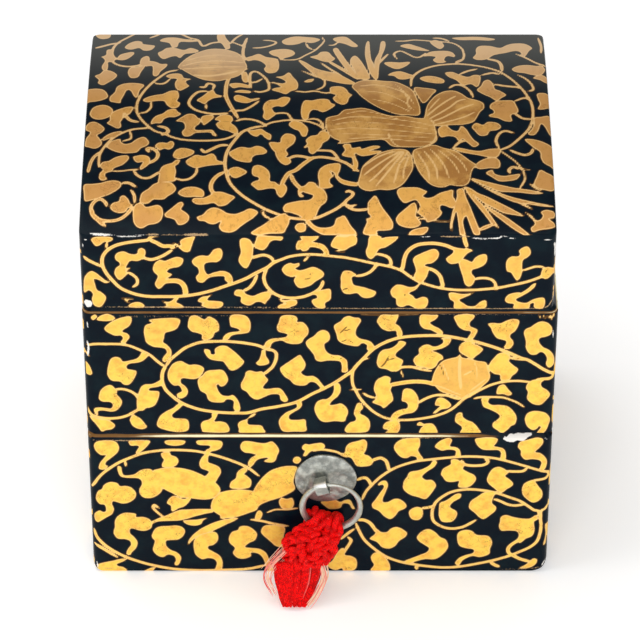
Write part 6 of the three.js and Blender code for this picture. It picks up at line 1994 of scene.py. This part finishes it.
def lacquer_material():
    """Black lacquer with painted gold, read from the distances kept in the points."""
    nodes = Nodes("painted lacquer")
    wobble = (nodes.noise(0.9, 2.0) - 0.5) * 0.10
    gold = nodes.kept("gold") + wobble
    mottling = nodes.noise(2.2, 4.0)
    grain = nodes.noise(0.35, 2.0)
    fill = nodes.mix(nodes.step(mottling, 0.42, 0.72), GOLD_FILL, GOLD_ORANGE)
    fill = nodes.mix(nodes.step(grain, 0.35, 0.8) * 0.25, fill, GOLD_PALE)
    deeper = nodes.step(nodes.height(), BOTTOM_HEIGHT, ARRIS_Z + 8) * (0.45 + mottling * 0.5)
    fill = nodes.mix(deeper, fill, GOLD_DEEP)
    roof = nodes.step(nodes.height(), ARRIS_Z - 0.8, ARRIS_Z)
    # A painted reflection lies over the back of the roof.
    painted_reflection = roof * nodes.step(nodes.axis("Y"), REFLECTION_START, REFLECTION_FULL)
    # On the roof the gold is painted browner, as shade.
    fill = nodes.mix(roof * 0.75, fill, ROOF_SHADED_GOLD)
    sideways = nodes.math("ABSOLUTE", nodes.axis("X")) + (nodes.noise(10.0, 3.0) - 0.5) * 60
    fill = nodes.mix(nodes.step(sideways, 22, 42) * roof * 0.6, fill, ROOF_ROSE)
    bud = 1 - nodes.step(nodes.kept("bud"), -0.03, 0.03)
    cloud = nodes.step(nodes.noise(6.0, 4.0), 0.42, 0.62)
    petal = nodes.mix(cloud, PETAL_BROWN, PETAL_GOLD)
    fill = nodes.mix(bud * (0.6 + roof * 0.35), fill, nodes.mix(roof, BUD_BROWN, petal))
    vein = 1 - nodes.step(nodes.kept("vein") + wobble, -0.08, 0.10)
    tarnish = nodes.step(nodes.noise(1.3, 5.0, (1.0, 0.6, 1.0), 0.7), 0.50, 0.68)
    fill = nodes.mix(tarnish * (0.25 + roof * 0.45), fill, TARNISH)
    # The pale veins and rims are painted browner on the roof too, as shade.
    pale = nodes.mix(roof * 0.7, GOLD_PALE, ROOF_SHADED_PALE)
    fill = nodes.mix(vein * bud * 0.8, fill, pale)
    rim = nodes.step(gold, -0.30, -0.12)
    fill = nodes.mix(rim * 0.85, fill, pale)
    line = 1 - nodes.step(nodes.kept("line"), -0.05, 0.06)
    crack = nodes.math("ABSOLUTE", nodes.noise(1.5, 3.0) - 0.5)
    crack = (1 - nodes.step(crack, 0.004, 0.016)) * nodes.step(nodes.noise(8.0, 2.0), 0.56, 0.60)
    fill = nodes.mix(line * 0.85, fill, GOLD_BROWN)
    fill = nodes.mix(crack * 0.6, fill, CRACK_BROWN)
    ground = nodes.mix(nodes.step(nodes.noise(5.0, 3.0), 0.4, 0.7), LACQUER, LACQUER_GREEN)
    # A thin brown painted shadow line round each gold shape.
    edge = 1 - nodes.step(gold, 0.10, 0.24)
    ground = nodes.mix(edge * 0.9, ground, GOLD_BROWN)
    # The painted reflection greys the lacquer and pales the gold at the back of the roof.
    ground = nodes.mix(painted_reflection * 0.75, ground, REFLECTION_GREY)
    fill = nodes.mix(painted_reflection * 0.75, fill, REFLECTION_GOLD)
    painted = 1 - nodes.step(gold, -0.05, 0.05)
    colour = nodes.mix(painted, ground, fill)
    gilding = nodes.kept("gilt") + (nodes.noise(1.6, 4.0, (0.3, 1.0, 1.0)) - 0.5) * 0.8
    # Where gilding shows; none in the painted shade under the piece above.
    gilt_shown = nodes.step(gilding, 0.30, 0.55) * nodes.step(nodes.kept("gilt"), 0.05, 0.3)
    rim_colour = nodes.mix(nodes.step(gilding, 0.9, 1.4), RIM_BROWN_RUBBED_AND_SHADED, RIM_GOLD)
    colour = nodes.mix(gilt_shown, colour, rim_colour)
    # Brown of rubbed edges and of painted highlight lines.
    rub = 1 - nodes.step(nodes.kept("rub") + (grain - 0.5) * 0.5, -0.12, 0.06)
    colour = nodes.mix(rub * 0.85, colour, RUB_AND_HIGHLIGHT_BROWN)
    # White of bare wear and of painted glints.
    bare = 1 - nodes.step(nodes.kept("bare") + (grain - 0.5) * 0.35, -0.10, 0.06)
    colour = nodes.mix(bare * 0.9, colour, BARE_AND_GLINT_WHITE)
    metal = painted * 0.55
    rough = 0.24 + painted * 0.22 + (nodes.noise(0.5, 2.0) - 0.5) * 0.08
    skin = nodes.noise(1.6, 2.0) * 0.5 + nodes.noise(0.3, 2.0) * painted * 0.5
    return nodes.finish(Base_Color=colour, Metallic=metal, Roughness=rough,
                        Specular_IOR_Level=0.06, Normal=nodes.bump(skin, 0.02, 0.35))


def dress(piece, material):
    """Gives a piece its one material."""
    piece.data.materials.clear()
    piece.data.materials.append(material)


lacquer = lacquer_material()
for piece in (bottom_tier, middle_tier, lid_piece):
    dress(piece, lacquer)

# %% [markdown]
# The pull is pewter: grey, a little green and pitted all over. The staple's rounded fold has a
# painted white highlight.
# %% Pewter
PEWTER = (0.24, 0.25, 0.23)
PEWTER_BRIGHT = (0.52, 0.53, 0.48)
PEWTER_DARK = (0.10, 0.11, 0.11)
# White of the painted highlight on the staple's fold.
FOLD_HIGHLIGHT_WHITE = (0.92, 0.92, 0.90)
FOLD_Z = PLATE_Z + 1.2
FOLD_Y = FRONT_Y - 4.0


def pewter_material(name, bright, fold=False):
    """Grey metal with cloudy tarnish and small pits, and a painted white highlight on the fold if asked
    for.
    """
    nodes = Nodes(name)
    cloud = nodes.noise(1.8, 4.0)
    pits = nodes.noise(0.30, 3.0)
    colour = nodes.mix(nodes.step(cloud, 0.35, 0.70), PEWTER, PEWTER_BRIGHT)
    colour = nodes.mix(nodes.step(pits, 0.58, 0.75) * 0.6, colour, PEWTER_DARK)
    colour = nodes.mix(bright, colour, PEWTER_BRIGHT)
    if fold:
        # A painted white highlight on the staple's rounded fold.
        rubbed_and_highlit = nodes.step(nodes.height(), FOLD_Z, FOLD_Z + 0.5)
        rubbed_and_highlit = rubbed_and_highlit * (1 - nodes.step(nodes.axis("Y"), FOLD_Y - 0.3, FOLD_Y + 0.3))
        colour = nodes.mix(rubbed_and_highlit, colour, FOLD_HIGHLIGHT_WHITE)
    rough = 0.38 + (pits - 0.5) * 0.3
    return nodes.finish(Base_Color=colour, Metallic=0.85, Roughness=rough,
                        Normal=nodes.bump(pits + cloud, 0.08, 0.6))


plate_metal = pewter_material("pewter plate", 0.0)
ring_metal = pewter_material("pewter ring", 0.5)
dress(plate_piece, plate_metal)
dress(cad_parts["pull_staple"], pewter_material("pewter staple", 0.12, fold=True))
dress(ring_piece, ring_metal)

# %% [markdown]
# Red silk: saturated, with painted shade in the creases and painted pale glints on the floss.
# %% Silk
SILK_RED = (1.0, 0.0, 0.0)
SILK_DARK = (0.34, 0.0, 0.0)
SILK_PINK = (0.95, 0.30, 0.26)
SILK_CREAM = (0.95, 0.72, 0.52)


def silk_material():
    """Red floss with fine threads, going pink and then cream by the shade kept in the points."""
    nodes = Nodes("red silk")
    threads = nodes.noise(0.16, 3.0, (1.0, 1.0, 0.3))
    patches = nodes.noise(0.9, 2.0)
    colour = nodes.mix(nodes.step(threads, 0.36, 0.58), SILK_DARK, SILK_RED)
    # Painted glints: small pink patches on the threads.
    glint = nodes.step(patches, 0.60, 0.72) * nodes.step(threads, 0.5, 0.62) * 0.35
    colour = nodes.mix(glint, colour, SILK_PINK)
    # Painted shade: cloudy dark patches stand for the creases.
    fold = nodes.noise(1.4, 1.0)
    colour = nodes.mix(nodes.step(fold, 0.52, 0.66) * 0.55, colour, SILK_DARK)
    shade = nodes.kept("shade")
    colour = nodes.mix(nodes.step(shade, 0.25, 0.6), colour, SILK_PINK)
    colour = nodes.mix(nodes.step(shade, 0.6, 0.85), colour, SILK_CREAM)
    return nodes.finish(Base_Color=colour, Roughness=0.7, Specular_IOR_Level=0.15,
                        Normal=nodes.bump(threads, 0.10, 0.6))


silk = silk_material()
for piece in (cord_piece, fringe_piece):
    dress(piece, silk)

# %% [markdown]
# The photograph has a nearly white ground and soft light from all round, brightest from the
# front. A big floor carries the soft shadow; area lights stand in front, above and at the sides.
# %% Floor, light and world
FLOOR = (0.92, 0.92, 0.92)
FLOOR_CLOUD = (0.88, 0.88, 0.88)
FLOOR_GLOW = 0.25
FLOOR_HALF = 3000.0
FLOOR_Z = -0.05
WHITE = (1.0, 1.0, 1.0)
WORLD_STRENGTH = 0.4
BOX_MIDDLE = (0.0, 0.0, 0.05)
# Each light: its name, place and target in metres, side in metres and power in watts.
LIGHTS = (
    ("front", (0.0, -0.9, 0.45), (0.0, 0.0, 0.04), 0.8, 5.0),
    ("above", (-0.2, 0.1, 0.9), BOX_MIDDLE, 0.6, 3.0),
    ("left", (-0.8, -0.2, 0.5), BOX_MIDDLE, 0.4, 1.5),
    ("right", (0.8, -0.3, 0.5), BOX_MIDDLE, 0.4, 1.0),
)


def floor_material():
    """A matt near white that glows a little, with faint clouds."""
    nodes = Nodes("pale floor")
    cloud = nodes.noise(40.0, 2.0)
    colour = nodes.mix(cloud * 0.04, FLOOR, FLOOR_CLOUD)
    return nodes.finish(Base_Color=colour, Roughness=0.8, Emission_Color=WHITE,
                        Emission_Strength=FLOOR_GLOW)


def floor():
    """A wide square just under the feet."""
    corners = ((-1, -1), (1, -1), (1, 1), (-1, 1))
    points = [(x * FLOOR_HALF, y * FLOOR_HALF, FLOOR_Z) for x, y in corners]
    piece = new_mesh("floor", points, [(0, 1, 2, 3)])
    dress(piece, floor_material())


def area_light(name, place, target, size, power):
    """A square soft light at a place in metres, facing a target."""
    data = bpy.data.lights.new(name, "AREA")
    data.size = size
    data.energy = power
    light = bpy.data.objects.new(name, data)
    light.location = place
    light.rotation_euler = (Vector(target) - Vector(place)).to_track_quat("-Z", "Y").to_euler()
    bpy.context.scene.collection.objects.link(light)


floor()
for light in LIGHTS:
    area_light(*light)

world = bpy.data.worlds.new("studio")
world.use_nodes = True
background = world.node_tree.nodes["Background"].inputs
background["Color"].default_value = (*WHITE, 1.0)
background["Strength"].default_value = WORLD_STRENGTH
bpy.context.scene.world = world
bpy.context.scene.view_settings.view_transform = "Standard"
